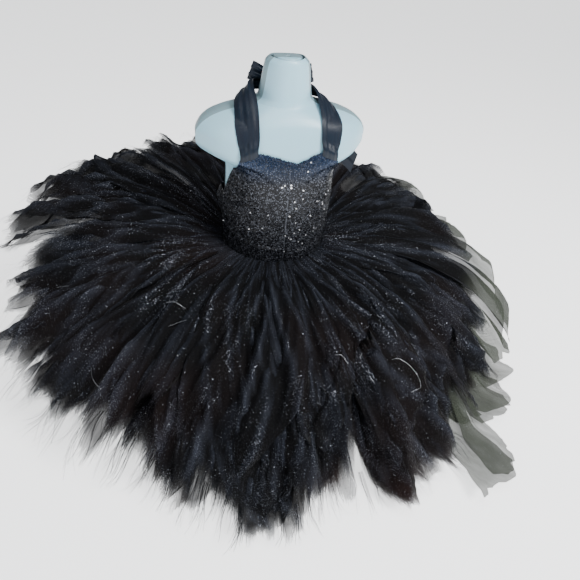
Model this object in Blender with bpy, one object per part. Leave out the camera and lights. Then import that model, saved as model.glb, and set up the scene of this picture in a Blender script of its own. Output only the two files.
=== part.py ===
"""Toddler's halter tutu dress on a limbless torso form.

Metres, +Z up, the front faces -Y. The origin is the centre of the form's flat base.
The dress is a front and a back bodice panel, two ribbon straps tied in a bow behind the neck, and
42 strips of tulle in three tiers, all sewn to the bodice along the waist.
An angle round the body is 0 at the centre front and grows towards +X, the wearer's left.
"""

import math

import bmesh
import bpy
from mathutils import Vector
from mathutils.bvhtree import BVHTree

# Driving sizes
CLOTH_WALL = 0.0015
RIBBON_WALL = 0.0012
SEAM_GAP = 0.0005  # between a piece and its neighbour
CLEARING_PASSES = 6  # rounds of moving cloth off the form
BODY_EASE = 0.0014  # between the form and the bodice
RIBBON_EASE = 0.0008  # between the form and the straps

# Shape of the form's and the bodice's horizontal sections
FRONT_POWERS = ((0.385, 2.5), (0.415, 4.0), (0.460, 4.0), (0.486, 2.5))  # over z: the stubs are blunter
BACK_POWER = 3.6
CLOTH_FRONT_POWER = 2.5  # higher is flatter over the chest
CLOTH_FRONT_ROUND = 0.85  # below 1 the cloth bridges the form's side crease
CLOTH_BACK_POWER = 3.6
# Between these heights the front panel runs straight, and doesn't follow the step under the shoulders. It
# does so in full up to the first distance from the centre front, and not at all past the second
TAUT_HEIGHTS = (0.335, 0.420)
TAUT_REACH = (0.060, 0.085)

# The torso form, bottom to top: z, half width, and how deep it is in front of and behind its creases
FORM_SECTIONS = (
    (0.000, 0.084, 0.047, 0.042),
    (0.004, 0.087, 0.050, 0.045),
    (0.030, 0.093, 0.056, 0.050),
    (0.080, 0.097, 0.061, 0.052),
    (0.140, 0.096, 0.064, 0.050),
    (0.200, 0.088, 0.064, 0.045),
    (0.240, 0.0855, 0.064, 0.044),
    (0.300, 0.0870, 0.065, 0.046),
    (0.350, 0.0865, 0.0655, 0.047),
    (0.383, 0.0855, 0.0650, 0.047),
    (0.397, 0.0868, 0.0642, 0.047),
    (0.405, 0.0950, 0.0632, 0.047),
    (0.412, 0.1120, 0.0620, 0.047),
    (0.419, 0.1245, 0.0605, 0.047),
    (0.429, 0.1300, 0.0580, 0.047),
    (0.443, 0.1300, 0.0550, 0.047),
    (0.455, 0.1250, 0.0515, 0.046),
    (0.466, 0.1140, 0.0475, 0.044),
    (0.475, 0.0940, 0.0420, 0.040),
    (0.482, 0.0680, 0.0360, 0.036),
    (0.487, 0.0485, 0.0310, 0.032),
    (0.494, 0.0395, 0.0285, 0.028),
    (0.510, 0.0360, 0.0265, 0.025),
    (0.530, 0.0330, 0.0250, 0.022),
    (0.540, 0.0305, 0.0240, 0.021),
    (0.545, 0.0255, 0.0220, 0.019),
)
FORM_FRONT_STEPS = 20
FORM_BACK_STEPS = 12

# The bodice's own half width, which doesn't follow the shoulder stubs
BODICE_BOTTOM_Z = 0.216
BODICE_WIDTHS = ((0.200, 0.0900), (0.240, 0.0870), (0.300, 0.0885), (0.355, 0.0882), (0.440, 0.0880))
# Height of the front panel's top edge over its distance from the centre front: the neckline, the
# edge that carries a strap, and the armhole
NECKLINE = (
    (0.0000, 0.4200),
    (0.0200, 0.4245),
    (0.0445, 0.4330),
    (0.0700, 0.4225),
    (0.0765, 0.3990),
    (0.0825, 0.3720),
    (0.0880, 0.3440),
)
BACK_TOP_SIDE_Z = 0.344
BACK_TOP_DIP = 0.012
BODICE_FRONT_STEPS = 24
BODICE_BACK_STEPS = 16
BODICE_ROWS = 10

# The back panel stands away from the wearer's right side in one soft fold
FOLD_ANGLE = math.radians(-112)
FOLD_Z = 0.318
FOLD_HALF_ANGLE = math.radians(17)
FOLD_HALF_HEIGHT = 0.036
FOLD_DEPTH = 0.011

# A strap as its inner and outer edge, from the bodice to the knot, on the wearer's left. The right one
# mirrors it and stands higher. Its first row is the bodice's own top edge. Columns: the inner edge's x, y
# and z, then the outer edge's
STRAP_EDGES = (
    (0.0450, -0.0550, 0.4520, 0.0735, -0.0450, 0.4410),
    (0.0450, -0.0430, 0.4750, 0.0765, -0.0290, 0.4660),
    (0.0450, -0.0230, 0.4890, 0.0750, -0.0080, 0.4800),
    (0.0460, 0.0000, 0.4980, 0.0680, 0.0140, 0.4840),
    (0.0435, 0.0220, 0.5030, 0.0550, 0.0320, 0.4830),
    (0.0310, 0.0330, 0.5050, 0.0370, 0.0390, 0.4850),
    (0.0160, 0.0350, 0.5050, 0.0165, 0.0358, 0.4890),
    (0.0008, 0.0350, 0.5030, 0.0008, 0.0350, 0.4910),
)
STRAP_RIGHT_LIFT = 0.007
STRAP_SEAT = (0.0450, 0.0690)  # the stretch of the bodice's top edge that a strap is sewn to
STRAP_RISE = 0.0028  # the strap starts this far above the bodice's top edge, which bulges between its ends
STRAP_ROWS = 20
STRAP_STEPS = 4
STRAP_CUP = 0.0022  # the ribbon's middle stands this much prouder than its edges

# The bow behind the neck
KNOT_CENTRE = Vector((0.0, 0.0475, 0.4970))
KNOT_HALF = Vector((0.0105, 0.0090, 0.0105))
KNOT_SQUARENESS = 0.75  # 1 is an egg, lower is boxier
KNOT_SEGMENTS = 14
KNOT_RINGS = 8
# Loops: name, side, degrees up from straight out, and length
LOOPS = (
    ("bow_loop_left", 1, 15, 0.044),
    ("bow_loop_right", -1, 20, 0.036),
)
LOOP_OPENING = 0.007
LOOP_START = Vector((0.0103, 0.0060, 0.0))  # from the knot's centre, behind it and clear of the straps
LOOP_WIDTH = 0.026
LOOP_PINCH = 0.42  # of its width at the knot
LOOP_ROWS = 18
# Tails: name, side, how far from the middle it starts, degrees out from straight down, and length
TAILS = (
    ("bow_tail_left", 1, 0.0020, 47, 0.190),
    ("bow_tail_right", -1, 0.0052, 12, 0.150),
)
TAIL_START = 0.0102  # from the knot's middle
TAIL_WIDTH = 0.030
TAIL_SLANT = 0.018  # the ribbon's end is cut this much askew
TAIL_SLANT_POWER = 6  # how close to its end the cut begins
TAIL_PINCH = 0.36  # of its width at the knot
TAIL_GATHER = 3.0  # it is at full width after one part in this many
TAIL_SPREAD_POWER = 0.8
TAIL_BELLY = 0.006  # its middle and its end stand this much further from the form
TAIL_END_AWAY = 0.007
TAIL_ROWS = 10
RIBBON_STEPS = 3

# The tiers of tulle strips: name, root z, length, a strip's mean slope at the front and at the back, how
# far its slope turns from waist to hem, half the height of its folds at the hem, the height above the
# floor at which its middle surface levels out, and the first strip's angle
TIERS = (
    ("top", 0.246, 0.380, -27, 1, 50, 0.0095, 0.052, 0.0),
    ("middle", 0.237, 0.385, -33, -15, 38, 0.0090, 0.031, 12.9),
    ("lower", 0.228, 0.372, -35.5, -29, 18, 0.0075, 0.011, 5.5),
)
LEVELLING = 0.012  # how softly a strip levels out there
STRIPS_IN_TIER = 14
STRIP_HALF_ANGLE = math.pi / STRIPS_IN_TIER
STRIP_SPREAD_AT_HEM = 0.92  # of the full half angle
ROOT_GAP = 0.0012  # between the middle of a strip's root and the bodice
ROOT_RIPPLE = 0.0005
ROOT_SHARE = 0.985  # of a strip's share of the waist
STRIP_STEPS = 8
STRIP_ROWS = 6
STRIP_FOLDS = 2
FOLD_START = 0.25  # where across a strip its folds begin, as a share of its half width
FOLD_DRIFT = 2.2  # how far, in radians, they shift sideways from waist to hem
FOLD_VARIETY = 3  # and from one strip to the next
FOLD_GROWTH_POWER = 0.8
POINT_POWER = 1.5  # how sharp a hem's point is

# How each strip is cut and lies, in turn round a tier: its length and, as shares of that, how much longer
# its left edge is than its right and how far its middle stands out as a point, then the degrees by which
# it lies higher than its tier
STRIP_CUTS = {
    "top": (
        (0.98, -0.05, 0.06, 0), (1.06, 0.06, 0.10, -1), (1.12, 0.08, 0.08, -3), (1.04, -0.07, 0.07, -3),
        (1.02, 0.04, 0.12, -5), (0.94, -0.09, 0.06, -3), (0.86, 0.05, 0.07, 0), (0.84, 0.02, 0.09, 1),
        (0.92, -0.06, 0.07, 3), (1.10, 0.08, 0.08, 6), (1.12, -0.04, 0.08, 6), (1.06, 0.07, 0.10, 3),
        (1.03, -0.08, 0.06, 0), (0.97, 0.05, 0.09, -1),
    ),
    "middle": (
        (1.04, 0.06, 0.10, 0), (1.17, -0.05, 0.10, -1), (1.14, 0.06, 0.08, -1), (1.05, -0.06, 0.10, -2),
        (0.97, 0.04, 0.08, -2), (0.94, -0.08, 0.06, 0), (0.90, 0.06, 0.08, 0), (0.90, -0.04, 0.10, 0),
        (0.96, 0.07, 0.08, 2), (1.06, -0.06, 0.08, 3), (1.04, 0.05, 0.06, 2), (1.06, -0.07, 0.10, 0),
        (1.01, 0.04, 0.08, 0), (1.10, 0.05, 0.11, 0),
    ),
    "lower": (
        (1.00, 0.05, 0.08, 0), (1.10, -0.06, 0.06, 0), (1.12, 0.07, 0.06, 0), (1.04, -0.05, 0.06, 0),
        (0.96, 0.06, 0.06, 0), (0.95, -0.04, 0.07, 0), (0.92, 0.05, 0.06, 0), (0.92, -0.06, 0.06, 0),
        (0.97, 0.04, 0.07, 0), (1.02, -0.05, 0.06, 0), (1.02, 0.06, 0.06, 0), (1.03, -0.07, 0.06, 0),
        (0.99, 0.05, 0.06, 0), (1.05, -0.05, 0.08, 0),
    ),
}

SHARP_ANGLE = 50

# Finish of each kind of piece: colour, roughness and metallic
FINISHES = {
    "form_plastic": ((0.74, 0.80, 0.82), 0.38, 0.0),
    "sequin_cloth": ((0.020, 0.021, 0.028), 0.35, 0.2),
    "satin_ribbon": ((0.018, 0.022, 0.034), 0.30, 0.0),
    "tulle": ((0.022, 0.022, 0.026), 0.70, 0.0),
}


def clear_scene():
    for old in list(bpy.data.objects):
        bpy.data.objects.remove(old)


def finish(name):
    """The material of that name, made once."""
    made = bpy.data.materials.get(name)
    if made is None:
        colour, roughness, metallic = FINISHES[name]
        made = bpy.data.materials.new(name)
        made.use_nodes = True
        shader = made.node_tree.nodes["Principled BSDF"]
        shader.inputs["Base Color"].default_value = (*colour, 1.0)
        shader.inputs["Roughness"].default_value = roughness
        shader.inputs["Metallic"].default_value = metallic
    return made


def add_object(name, mesh_builder, finish_name):
    """Turns a finished bmesh into a named, smooth-shaded object."""
    bmesh.ops.triangulate(mesh_builder, faces=mesh_builder.faces[:])
    mesh = bpy.data.meshes.new(name)
    mesh_builder.to_mesh(mesh)
    mesh_builder.free()
    mesh.shade_smooth()
    mesh.set_sharp_from_angle(angle=math.radians(SHARP_ANGLE))
    mesh.materials.append(finish(finish_name))
    made = bpy.data.objects.new(name, mesh)
    bpy.context.scene.collection.objects.link(made)
    return made


def read_curve(rows, at, column=1):
    """A table's column at a value of its first one, on a smooth curve through the rows."""
    if at <= rows[0][0]:
        return rows[0][column]
    if at >= rows[-1][0]:
        return rows[-1][column]
    last = len(rows) - 1
    k = max(i for i in range(last) if rows[i][0] <= at)
    low, high = rows[k], rows[k + 1]
    width = high[0] - low[0]
    share = (at - low[0]) / width
    rise = (high[column] - low[column]) / width
    tangents = []
    for i in (k, k + 1):
        if i in (0, last):
            tangents.append(rise)
            continue
        before = (rows[i][column] - rows[i - 1][column]) / (rows[i][0] - rows[i - 1][0])
        after = (rows[i + 1][column] - rows[i][column]) / (rows[i + 1][0] - rows[i][0])
        flat = before * after <= 0
        tangents.append(0.0 if flat else 2 * before * after / (before + after))
    one, two = share, share * share
    three = two * share
    return (
        low[column] * (2 * three - 3 * two + 1)
        + tangents[0] * width * (three - 2 * two + one)
        + high[column] * (3 * two - 2 * three)
        + tangents[1] * width * (three - two)
    )


def form_front_y(x, z):
    """How far forward the form's front stands at a place seen from the front."""
    half_width = read_curve(FORM_SECTIONS, z, 1)
    reach = min(1.0, abs(x) / half_width)
    return -read_curve(FORM_SECTIONS, z, 2) * (1 - reach ** read_curve(FRONT_POWERS, z))


def form_point(z, angle):
    """A point of the form: a curved front, a crease at each side and a rounded back."""
    half_width = read_curve(FORM_SECTIONS, z, 1)
    across, ahead = math.sin(angle), math.cos(angle)
    if ahead >= 0:
        x = half_width * across
        return Vector((x, form_front_y(x, z), z))
    x = math.copysign(abs(across) ** (2 / BACK_POWER), across) * half_width
    return Vector((x, read_curve(FORM_SECTIONS, z, 3) * abs(ahead) ** (2 / BACK_POWER), z))


def back_fold(angle, z):
    """How far the back panel's loose fold stands out."""
    across = (math.remainder(angle, 2 * math.pi) - FOLD_ANGLE) / FOLD_HALF_ANGLE
    along = (z - FOLD_Z) / FOLD_HALF_HEIGHT
    if abs(across) >= 1 or abs(along) >= 1:
        return 0.0
    return FOLD_DEPTH * (1 - across * across) ** 2 * (1 - along * along) ** 2


def cloth_front_y(x, z, across, out):
    """How far forward the front panel stands where it follows the form."""
    front = read_curve(FORM_SECTIONS, z, 2) + out
    bridged = -front * (1 - abs(across) ** CLOTH_FRONT_POWER) ** CLOTH_FRONT_ROUND
    return min(bridged, form_front_y(x, z) - out)


def bodice_point(z, angle, out=0.0):
    """A point of the bodice's inner surface, before it is moved clear of the form."""
    across, ahead = math.sin(angle), math.cos(angle)
    if ahead >= 0:
        x = (read_curve(BODICE_WIDTHS, z) + out) * across
        y = cloth_front_y(x, z, across, out)
        low, high = TAUT_HEIGHTS
        if low < z < high:
            ends = [cloth_front_y(x, end, across, out) for end in TAUT_HEIGHTS]
            straight = ends[0] + (ends[1] - ends[0]) * (z - low) / (high - low)
            share = min(1.0, max(0.0, (TAUT_REACH[1] - abs(x)) / (TAUT_REACH[1] - TAUT_REACH[0])))
            y += min(0.0, straight - y) * share
        return Vector((x, y, z))
    out += back_fold(angle, z)
    half_width = read_curve(BODICE_WIDTHS, z) + out
    x = math.copysign(abs(across) ** (2 / CLOTH_BACK_POWER), across) * half_width
    back = read_curve(FORM_SECTIONS, z, 3) + out
    return Vector((x, back * abs(ahead) ** (2 / CLOTH_BACK_POWER), z))


def move_clear(grid, surface, gap):
    """Moves a grid's points away from a closed surface until the cloth between them is clear too."""
    rows, columns = len(grid), len(grid[0])
    patches = [[(r, c)] for r in range(rows) for c in range(columns)]
    patches += [[(r, c), (r, c + 1)] for r in range(rows) for c in range(columns - 1)]
    patches += [[(r, c), (r + 1, c)] for r in range(rows - 1) for c in range(columns)]
    patches += [
        [(r, c), (r, c + 1), (r + 1, c), (r + 1, c + 1)] for r in range(rows - 1) for c in range(columns - 1)
    ]
    for _ in range(CLEARING_PASSES):
        for patch in patches:
            middle = sum((grid[r][c] for r, c in patch), Vector()) / len(patch)
            near, normal, _, distance = surface.find_nearest(middle)
            height = math.copysign(distance, (middle - near).dot(normal))
            if height < gap:
                for r, c in patch:
                    grid[r][c] = grid[r][c] + normal * (gap - height)


def grown(grid, thickness):
    """A grid of points moved along its own normals, on the side that its rows and columns face."""
    rows, columns = len(grid), len(grid[0])
    moved = []
    for r in range(rows):
        line = []
        for c in range(columns):
            along = grid[min(r + 1, rows - 1)][c] - grid[max(r - 1, 0)][c]
            across = grid[r][min(c + 1, columns - 1)] - grid[r][max(c - 1, 0)]
            line.append(grid[r][c] + across.cross(along).normalized() * thickness)
        moved.append(line)
    return moved


def loft(rings, closed=True):
    """Faces between rings of points, each ring joined round if closed, with both ends capped."""
    made = bmesh.new()
    rows = [[made.verts.new(point) for point in ring] for ring in rings]
    count = len(rows[0])
    for lower, upper in zip(rows, rows[1:]):
        for i in range(count if closed else count - 1):
            j = (i + 1) % count
            made.faces.new((lower[i], lower[j], upper[j], upper[i]))
    made.faces.new(rows[0][::-1])
    made.faces.new(rows[-1])
    bmesh.ops.recalc_face_normals(made, faces=made.faces[:])
    return made


def wall(outer, inner):
    """A thin wall between two grids of points, rows by columns, closed along all four edges."""
    made = bmesh.new()
    sides = [[[made.verts.new(point) for point in row] for row in grid] for grid in (outer, inner)]
    rows, columns = len(outer), len(outer[0])
    for side, grid in enumerate(sides):
        for r in range(rows - 1):
            for c in range(columns - 1):
                ring = (grid[r][c], grid[r][c + 1], grid[r + 1][c + 1], grid[r + 1][c])
                made.faces.new(ring if side == 0 else ring[::-1])
    border = [(0, c) for c in range(columns - 1)]
    border += [(r, columns - 1) for r in range(rows - 1)]
    border += [(rows - 1, c) for c in range(columns - 1, 0, -1)]
    border += [(r, 0) for r in range(rows - 1, 0, -1)]
    for (r0, c0), (r1, c1) in zip(border, border[1:] + border[:1]):
        made.faces.new((sides[0][r0][c0], sides[1][r0][c0], sides[1][r1][c1], sides[0][r1][c1]))
    bmesh.ops.recalc_face_normals(made, faces=made.faces[:])
    return made


def ribbon_grid(rows, steps, cup=0.0):
    """A ribbon through rows of (left edge, right edge), its middle raised by cup."""
    grid = []
    for k, (left, right) in enumerate(rows):
        before, after = rows[max(0, k - 1)], rows[min(len(rows) - 1, k + 1)]
        along = (after[0] + after[1]) - (before[0] + before[1])
        normal = (right - left).cross(along).normalized()
        shares = [i / steps for i in range(steps + 1)]
        grid.append([left.lerp(right, share) + normal * cup * 4 * share * (1 - share) for share in shares])
    return grid


def ribbon_wall(rows):
    """A loose ribbon, thickened evenly to both sides."""
    grid = ribbon_grid(rows, RIBBON_STEPS)
    return wall(grown(grid, RIBBON_WALL / 2), grown(grid, -RIBBON_WALL / 2))


def angles_round(front_steps, back_steps):
    """Angles round a whole section, closer together over the front."""
    front = [-math.pi / 2 + math.pi * i / front_steps for i in range(front_steps)]
    back = [math.pi / 2 + math.pi * i / back_steps for i in range(back_steps)]
    return front + back


def make_form():
    """The form, and its surface for the cloth to lie on."""
    angles = angles_round(FORM_FRONT_STEPS, FORM_BACK_STEPS)
    rings = [[form_point(row[0], angle) for angle in angles] for row in FORM_SECTIONS]
    built = loft(rings)
    surface = BVHTree.FromBMesh(built)
    add_object("dress_form", built, "form_plastic")
    return surface


def neckline_z(angle):
    """Height of the bodice's top edge."""
    if math.cos(angle) >= 0:
        return read_curve(NECKLINE, abs(NECKLINE[-1][0] * math.sin(angle)))
    return BACK_TOP_SIDE_Z - BACK_TOP_DIP * (1 - abs(math.sin(angle)) ** 2)


def make_bodice(form_surface):
    """Both panels, and their surface for the skirt to be sewn to."""
    half_seam = math.asin(SEAM_GAP / NECKLINE[-1][0])
    panels = (
        ("bodice_front", -math.pi / 2 + half_seam, math.pi / 2 - half_seam, BODICE_FRONT_STEPS),
        ("bodice_back", math.pi / 2, 3 * math.pi / 2, BODICE_BACK_STEPS),
    )
    points, faces = [], []
    for name, first, last, steps in panels:
        inner = []
        for r in range(BODICE_ROWS + 1):
            line = []
            for c in range(steps + 1):
                angle = first + (last - first) * c / steps
                z = BODICE_BOTTOM_Z + (neckline_z(angle) - BODICE_BOTTOM_Z) * r / BODICE_ROWS
                line.append(bodice_point(z, angle))
            inner.append(line)
        move_clear(inner, form_surface, BODY_EASE)
        panel = add_object(name, wall(grown(inner, CLOTH_WALL), inner), "sequin_cloth")
        faces += [[len(points) + index for index in face.vertices] for face in panel.data.polygons]
        points += [vert.co for vert in panel.data.vertices]
    return BVHTree.FromPolygons(points, faces)


def strap_seat(reach, side):
    """A point of the strap's lower edge, just above the bodice's top edge."""
    z = read_curve(NECKLINE, reach)
    angle = math.asin(reach / read_curve(BODICE_WIDTHS, z))
    point = bodice_point(z, angle, BODY_EASE + CLOTH_WALL)
    return Vector((side * point.x, point.y, point.z + STRAP_RISE))


def strap_rows(side):
    """The strap's edges at even steps along its table, on smooth curves."""
    table = [(k + 1, *row) for k, row in enumerate(STRAP_EDGES)]
    start = [strap_seat(reach, 1) for reach in STRAP_SEAT]
    table.insert(0, (0, *start[0], *start[1]))
    rows = []
    for i in range(STRAP_ROWS + 1):
        at = i / STRAP_ROWS * (len(table) - 1)
        inner = Vector([read_curve(table, at, column) for column in (1, 2, 3)])
        outer = Vector([read_curve(table, at, column) for column in (4, 5, 6)])
        if side < 0:
            inner.z += STRAP_RIGHT_LIFT * math.sin(math.pi * i / STRAP_ROWS)
            outer.z += STRAP_RIGHT_LIFT * math.sin(math.pi * i / STRAP_ROWS)
        inner.x *= side
        outer.x *= side
        rows.append((inner, outer) if side > 0 else (outer, inner))
    return rows


def make_straps(form_surface):
    for name, side in (("strap_left", 1), ("strap_right", -1)):
        inner = ribbon_grid(strap_rows(side), STRAP_STEPS, STRAP_CUP)
        move_clear(inner, form_surface, RIBBON_EASE)
        add_object(name, wall(grown(inner, RIBBON_WALL), inner), "satin_ribbon")


def make_knot():
    made = bmesh.new()
    bmesh.ops.create_uvsphere(made, u_segments=KNOT_SEGMENTS, v_segments=KNOT_RINGS, radius=1.0)
    for vert in made.verts:
        round_it = [math.copysign(abs(value) ** KNOT_SQUARENESS, value) for value in vert.co]
        vert.co = KNOT_CENTRE + Vector([r * half for r, half in zip(round_it, KNOT_HALF)])
    add_object("bow_knot", made, "satin_ribbon")


def make_loops():
    """Each loop leaves the knot's side, opens like a drop and comes back below where it left."""
    for name, side, lean, reach in LOOPS:
        outward = Vector((side * math.cos(math.radians(lean)), 0, math.sin(math.radians(lean))))
        across = Vector((-outward.z * side, 0, outward.x * side))
        start = KNOT_CENTRE + outward * LOOP_START.x + Vector((0, LOOP_START.y, 0))
        rows = []
        for k in range(LOOP_ROWS + 1):
            turn = 2 * math.pi * k / LOOP_ROWS
            swell = math.sin(turn) * math.sin(turn / 2) ** 0.5 if 0 < k < LOOP_ROWS else 0.0
            pinch = LOOP_PINCH + (1 - LOOP_PINCH) * math.sin(turn / 2)
            away = RIBBON_WALL * (1 if k == 0 else -1) if swell == 0 else 0.0
            centre = start + outward * reach * (1 - math.cos(turn)) / 2
            centre.y += LOOP_OPENING * swell + away
            half = across * LOOP_WIDTH / 2 * pinch
            rows.append((centre - half, centre + half))
        add_object(name, ribbon_wall(rows), "satin_ribbon")


def make_tails():
    """Each tail hangs from under the knot, a little away from the form's back."""
    for name, side, aside, lean, reach in TAILS:
        along = Vector((side * math.sin(math.radians(lean)), 0, -math.cos(math.radians(lean))))
        across = Vector((-along.z, 0, along.x))
        start = KNOT_CENTRE + Vector((side * aside, 0, 0)) + along * TAIL_START
        rows = []
        for k in range(TAIL_ROWS + 1):
            share = k / TAIL_ROWS
            spread = min(1.0, share * TAIL_GATHER) ** TAIL_SPREAD_POWER
            width = TAIL_WIDTH * (TAIL_PINCH + (1 - TAIL_PINCH) * spread)
            middle = start + along * reach * share
            middle.y += TAIL_BELLY * math.sin(math.pi * share) + TAIL_END_AWAY * share
            half = across * width / 2
            skew = along * TAIL_SLANT / 2 * share**TAIL_SLANT_POWER
            rows.append((middle - half + skew, middle + half - skew))
        add_object(name, ribbon_wall(rows), "satin_ribbon")


def root_point(root_z, angle, surface):
    """Where a strip is sewn on: just off the bodice's own surface."""
    outside = bodice_point(root_z, angle, 3 * CLOTH_WALL)
    near = surface.find_nearest(outside)[0]
    return near + (outside - near).normalized() * ROOT_GAP


def strip_point(tier, cut, centre, root, u, s, lift):
    """A point of a tulle strip: u across it from -1 to 1, s along it from 0 at the waist to 1 at the hem.

    The strip leaves its root and follows an arc whose slope turns evenly from start to hem, then
    levels out above the floor. lift moves the point off the strip's middle surface.
    """
    _, _, length, front_slope, back_slope, arch, ripple, lowest, _ = tier
    cut_length, slant, point, extra = cut
    s *= cut_length * (1 + slant * u + point * (0.5 - abs(u) ** POINT_POWER))
    heading = centre + STRIP_HALF_ANGLE * u * (1 - (1 - STRIP_SPREAD_AT_HEM) * min(1.0, s))
    ahead = (1 + math.cos(heading)) / 2
    middle = math.radians(back_slope + (front_slope - back_slope) * ahead + extra)
    turn = math.radians(arch)
    start = middle + turn / 2
    slope = start - turn * s
    out = length / turn * (math.sin(start) - math.sin(slope))
    height = root.z + length / turn * (math.cos(slope) - math.cos(start))
    over = height - lowest
    height = lowest + (over + math.hypot(over, LEVELLING)) / 2
    fold = ROOT_RIPPLE + (ripple - ROOT_RIPPLE) * min(1.0, s) ** FOLD_GROWTH_POWER
    turn_across = math.pi * STRIP_FOLDS * (u + FOLD_START) + FOLD_DRIFT * s + FOLD_VARIETY * centre
    lift += fold * math.sin(turn_across)
    out -= lift * math.sin(slope)
    height += lift * math.cos(slope)
    return Vector((root.x + math.sin(heading) * out, root.y - math.cos(heading) * out, height))


def make_strips(bodice_surface):
    """Every strip of every tier. A strip's root is a little narrower than its share of the waist."""
    for tier in TIERS:
        name, root_z, first = tier[0], tier[1], math.radians(tier[-1])
        for k in range(STRIPS_IN_TIER):
            centre = math.remainder(first + 2 * STRIP_HALF_ANGLE * k, 2 * math.pi)
            sides = [-1 + 2 * c / STRIP_STEPS for c in range(STRIP_STEPS + 1)]
            reach = STRIP_HALF_ANGLE * ROOT_SHARE
            roots = [root_point(root_z, centre + reach * u, bodice_surface) for u in sides]
            grids = []
            for lift in (CLOTH_WALL / 2, -CLOTH_WALL / 2):
                grids.append([
                    [
                        strip_point(tier, STRIP_CUTS[name][k], centre, root, u, r / STRIP_ROWS, lift)
                        for u, root in zip(sides, roots)
                    ]
                    for r in range(STRIP_ROWS + 1)
                ])
            add_object(f"tulle_{name}_{k + 1:02d}", wall(*grids), "tulle")


clear_scene()
form_surface = make_form()
bodice_surface = make_bodice(form_surface)
make_straps(form_surface)
make_knot()
make_loops()
make_tails()
make_strips(bodice_surface)
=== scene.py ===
import math

import bmesh
import bpy
import numpy as np
from mathutils import Matrix, Vector


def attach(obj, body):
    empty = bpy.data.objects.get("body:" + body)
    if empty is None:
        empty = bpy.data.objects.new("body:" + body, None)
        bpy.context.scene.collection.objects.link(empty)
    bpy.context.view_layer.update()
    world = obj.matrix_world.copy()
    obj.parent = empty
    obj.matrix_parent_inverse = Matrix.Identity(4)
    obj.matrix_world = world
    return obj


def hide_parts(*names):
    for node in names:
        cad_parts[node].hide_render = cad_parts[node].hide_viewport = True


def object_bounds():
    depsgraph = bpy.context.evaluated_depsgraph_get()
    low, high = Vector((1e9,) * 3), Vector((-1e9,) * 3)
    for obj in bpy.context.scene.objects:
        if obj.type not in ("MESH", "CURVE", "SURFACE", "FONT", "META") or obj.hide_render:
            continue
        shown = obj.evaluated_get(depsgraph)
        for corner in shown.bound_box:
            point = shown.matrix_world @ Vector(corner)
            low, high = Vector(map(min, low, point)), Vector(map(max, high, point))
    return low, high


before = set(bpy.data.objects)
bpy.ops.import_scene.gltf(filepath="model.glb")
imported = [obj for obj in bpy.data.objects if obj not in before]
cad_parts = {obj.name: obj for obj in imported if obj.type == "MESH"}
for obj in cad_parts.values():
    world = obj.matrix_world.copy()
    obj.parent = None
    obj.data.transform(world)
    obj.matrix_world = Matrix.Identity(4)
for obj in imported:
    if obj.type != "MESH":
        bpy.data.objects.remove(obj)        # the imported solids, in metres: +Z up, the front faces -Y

cadBox = [list(corner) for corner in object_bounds()]
seeded = np.random.default_rng(41)


# camera, at the photograph's own angle
camera = {
    "azimuth": -17.0,       # degrees round from straight in front
    "elevation": 41.0,
    "roll": 6.5,
    "lens": 28.0,           # on a sensor 36 wide
    "distance": 0.785,      # from the aim point
    "aim": (0.0, 0.0, 0.30),
    "aimPixel": (276.6, 212.5),
    "picture": 580,
}


def makeCamera(c):
    # back points from the object to the camera. The aim point falls on its pixel, off the frame's centre
    a, e, roll = (math.radians(c[key]) for key in ("azimuth", "elevation", "roll"))
    back = Vector((math.sin(a) * math.cos(e), -math.cos(a) * math.cos(e), math.sin(e)))
    right = (-back).cross(Vector((0, 0, 1))).normalized()
    up = right.cross(-back)
    right, up = right * math.cos(roll) + up * math.sin(roll), up * math.cos(roll) - right * math.sin(roll)
    half = c["picture"] / 2
    focal = c["picture"] * c["lens"] / 36
    across, down = ((pixel - half) / focal for pixel in c["aimPixel"])
    ray = (-back + right * across - up * down).normalized()
    made = bpy.data.objects.new("camera", bpy.data.cameras.new("camera"))
    made.data.lens = c["lens"]
    turn = Matrix((right, up, back)).transposed()
    made.matrix_world = Matrix.Translation(Vector(c["aim"]) - ray * c["distance"]) @ turn.to_4x4()
    bpy.context.scene.collection.objects.link(made)
    bpy.context.scene.camera = made


makeCamera(camera)
print("camera placed")


# node maths: a wrapped socket takes part in Python expressions
class Channel:
    def __init__(self, finish, socket):
        self.finish, self.socket = finish, socket

    def calc(self, operation, *others):
        return self.finish.node("Math", {"operation": operation}, dict(enumerate((self, *others))))

    __add__ = __radd__ = lambda self, other: self.calc("ADD", other)
    __mul__ = __rmul__ = lambda self, other: self.calc("MULTIPLY", other)
    __sub__ = lambda self, other: self.calc("SUBTRACT", other)
    __rsub__ = lambda self, other: self.finish.node("Math", {"operation": "SUBTRACT"}, {0: other, 1: self})
    __gt__ = lambda self, other: self.calc("GREATER_THAN", other)
    __lt__ = lambda self, other: self.calc("LESS_THAN", other)

    def output(self, name):  # another output of the same node
        return Channel(self.finish, self.socket.node.outputs[name])


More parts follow.
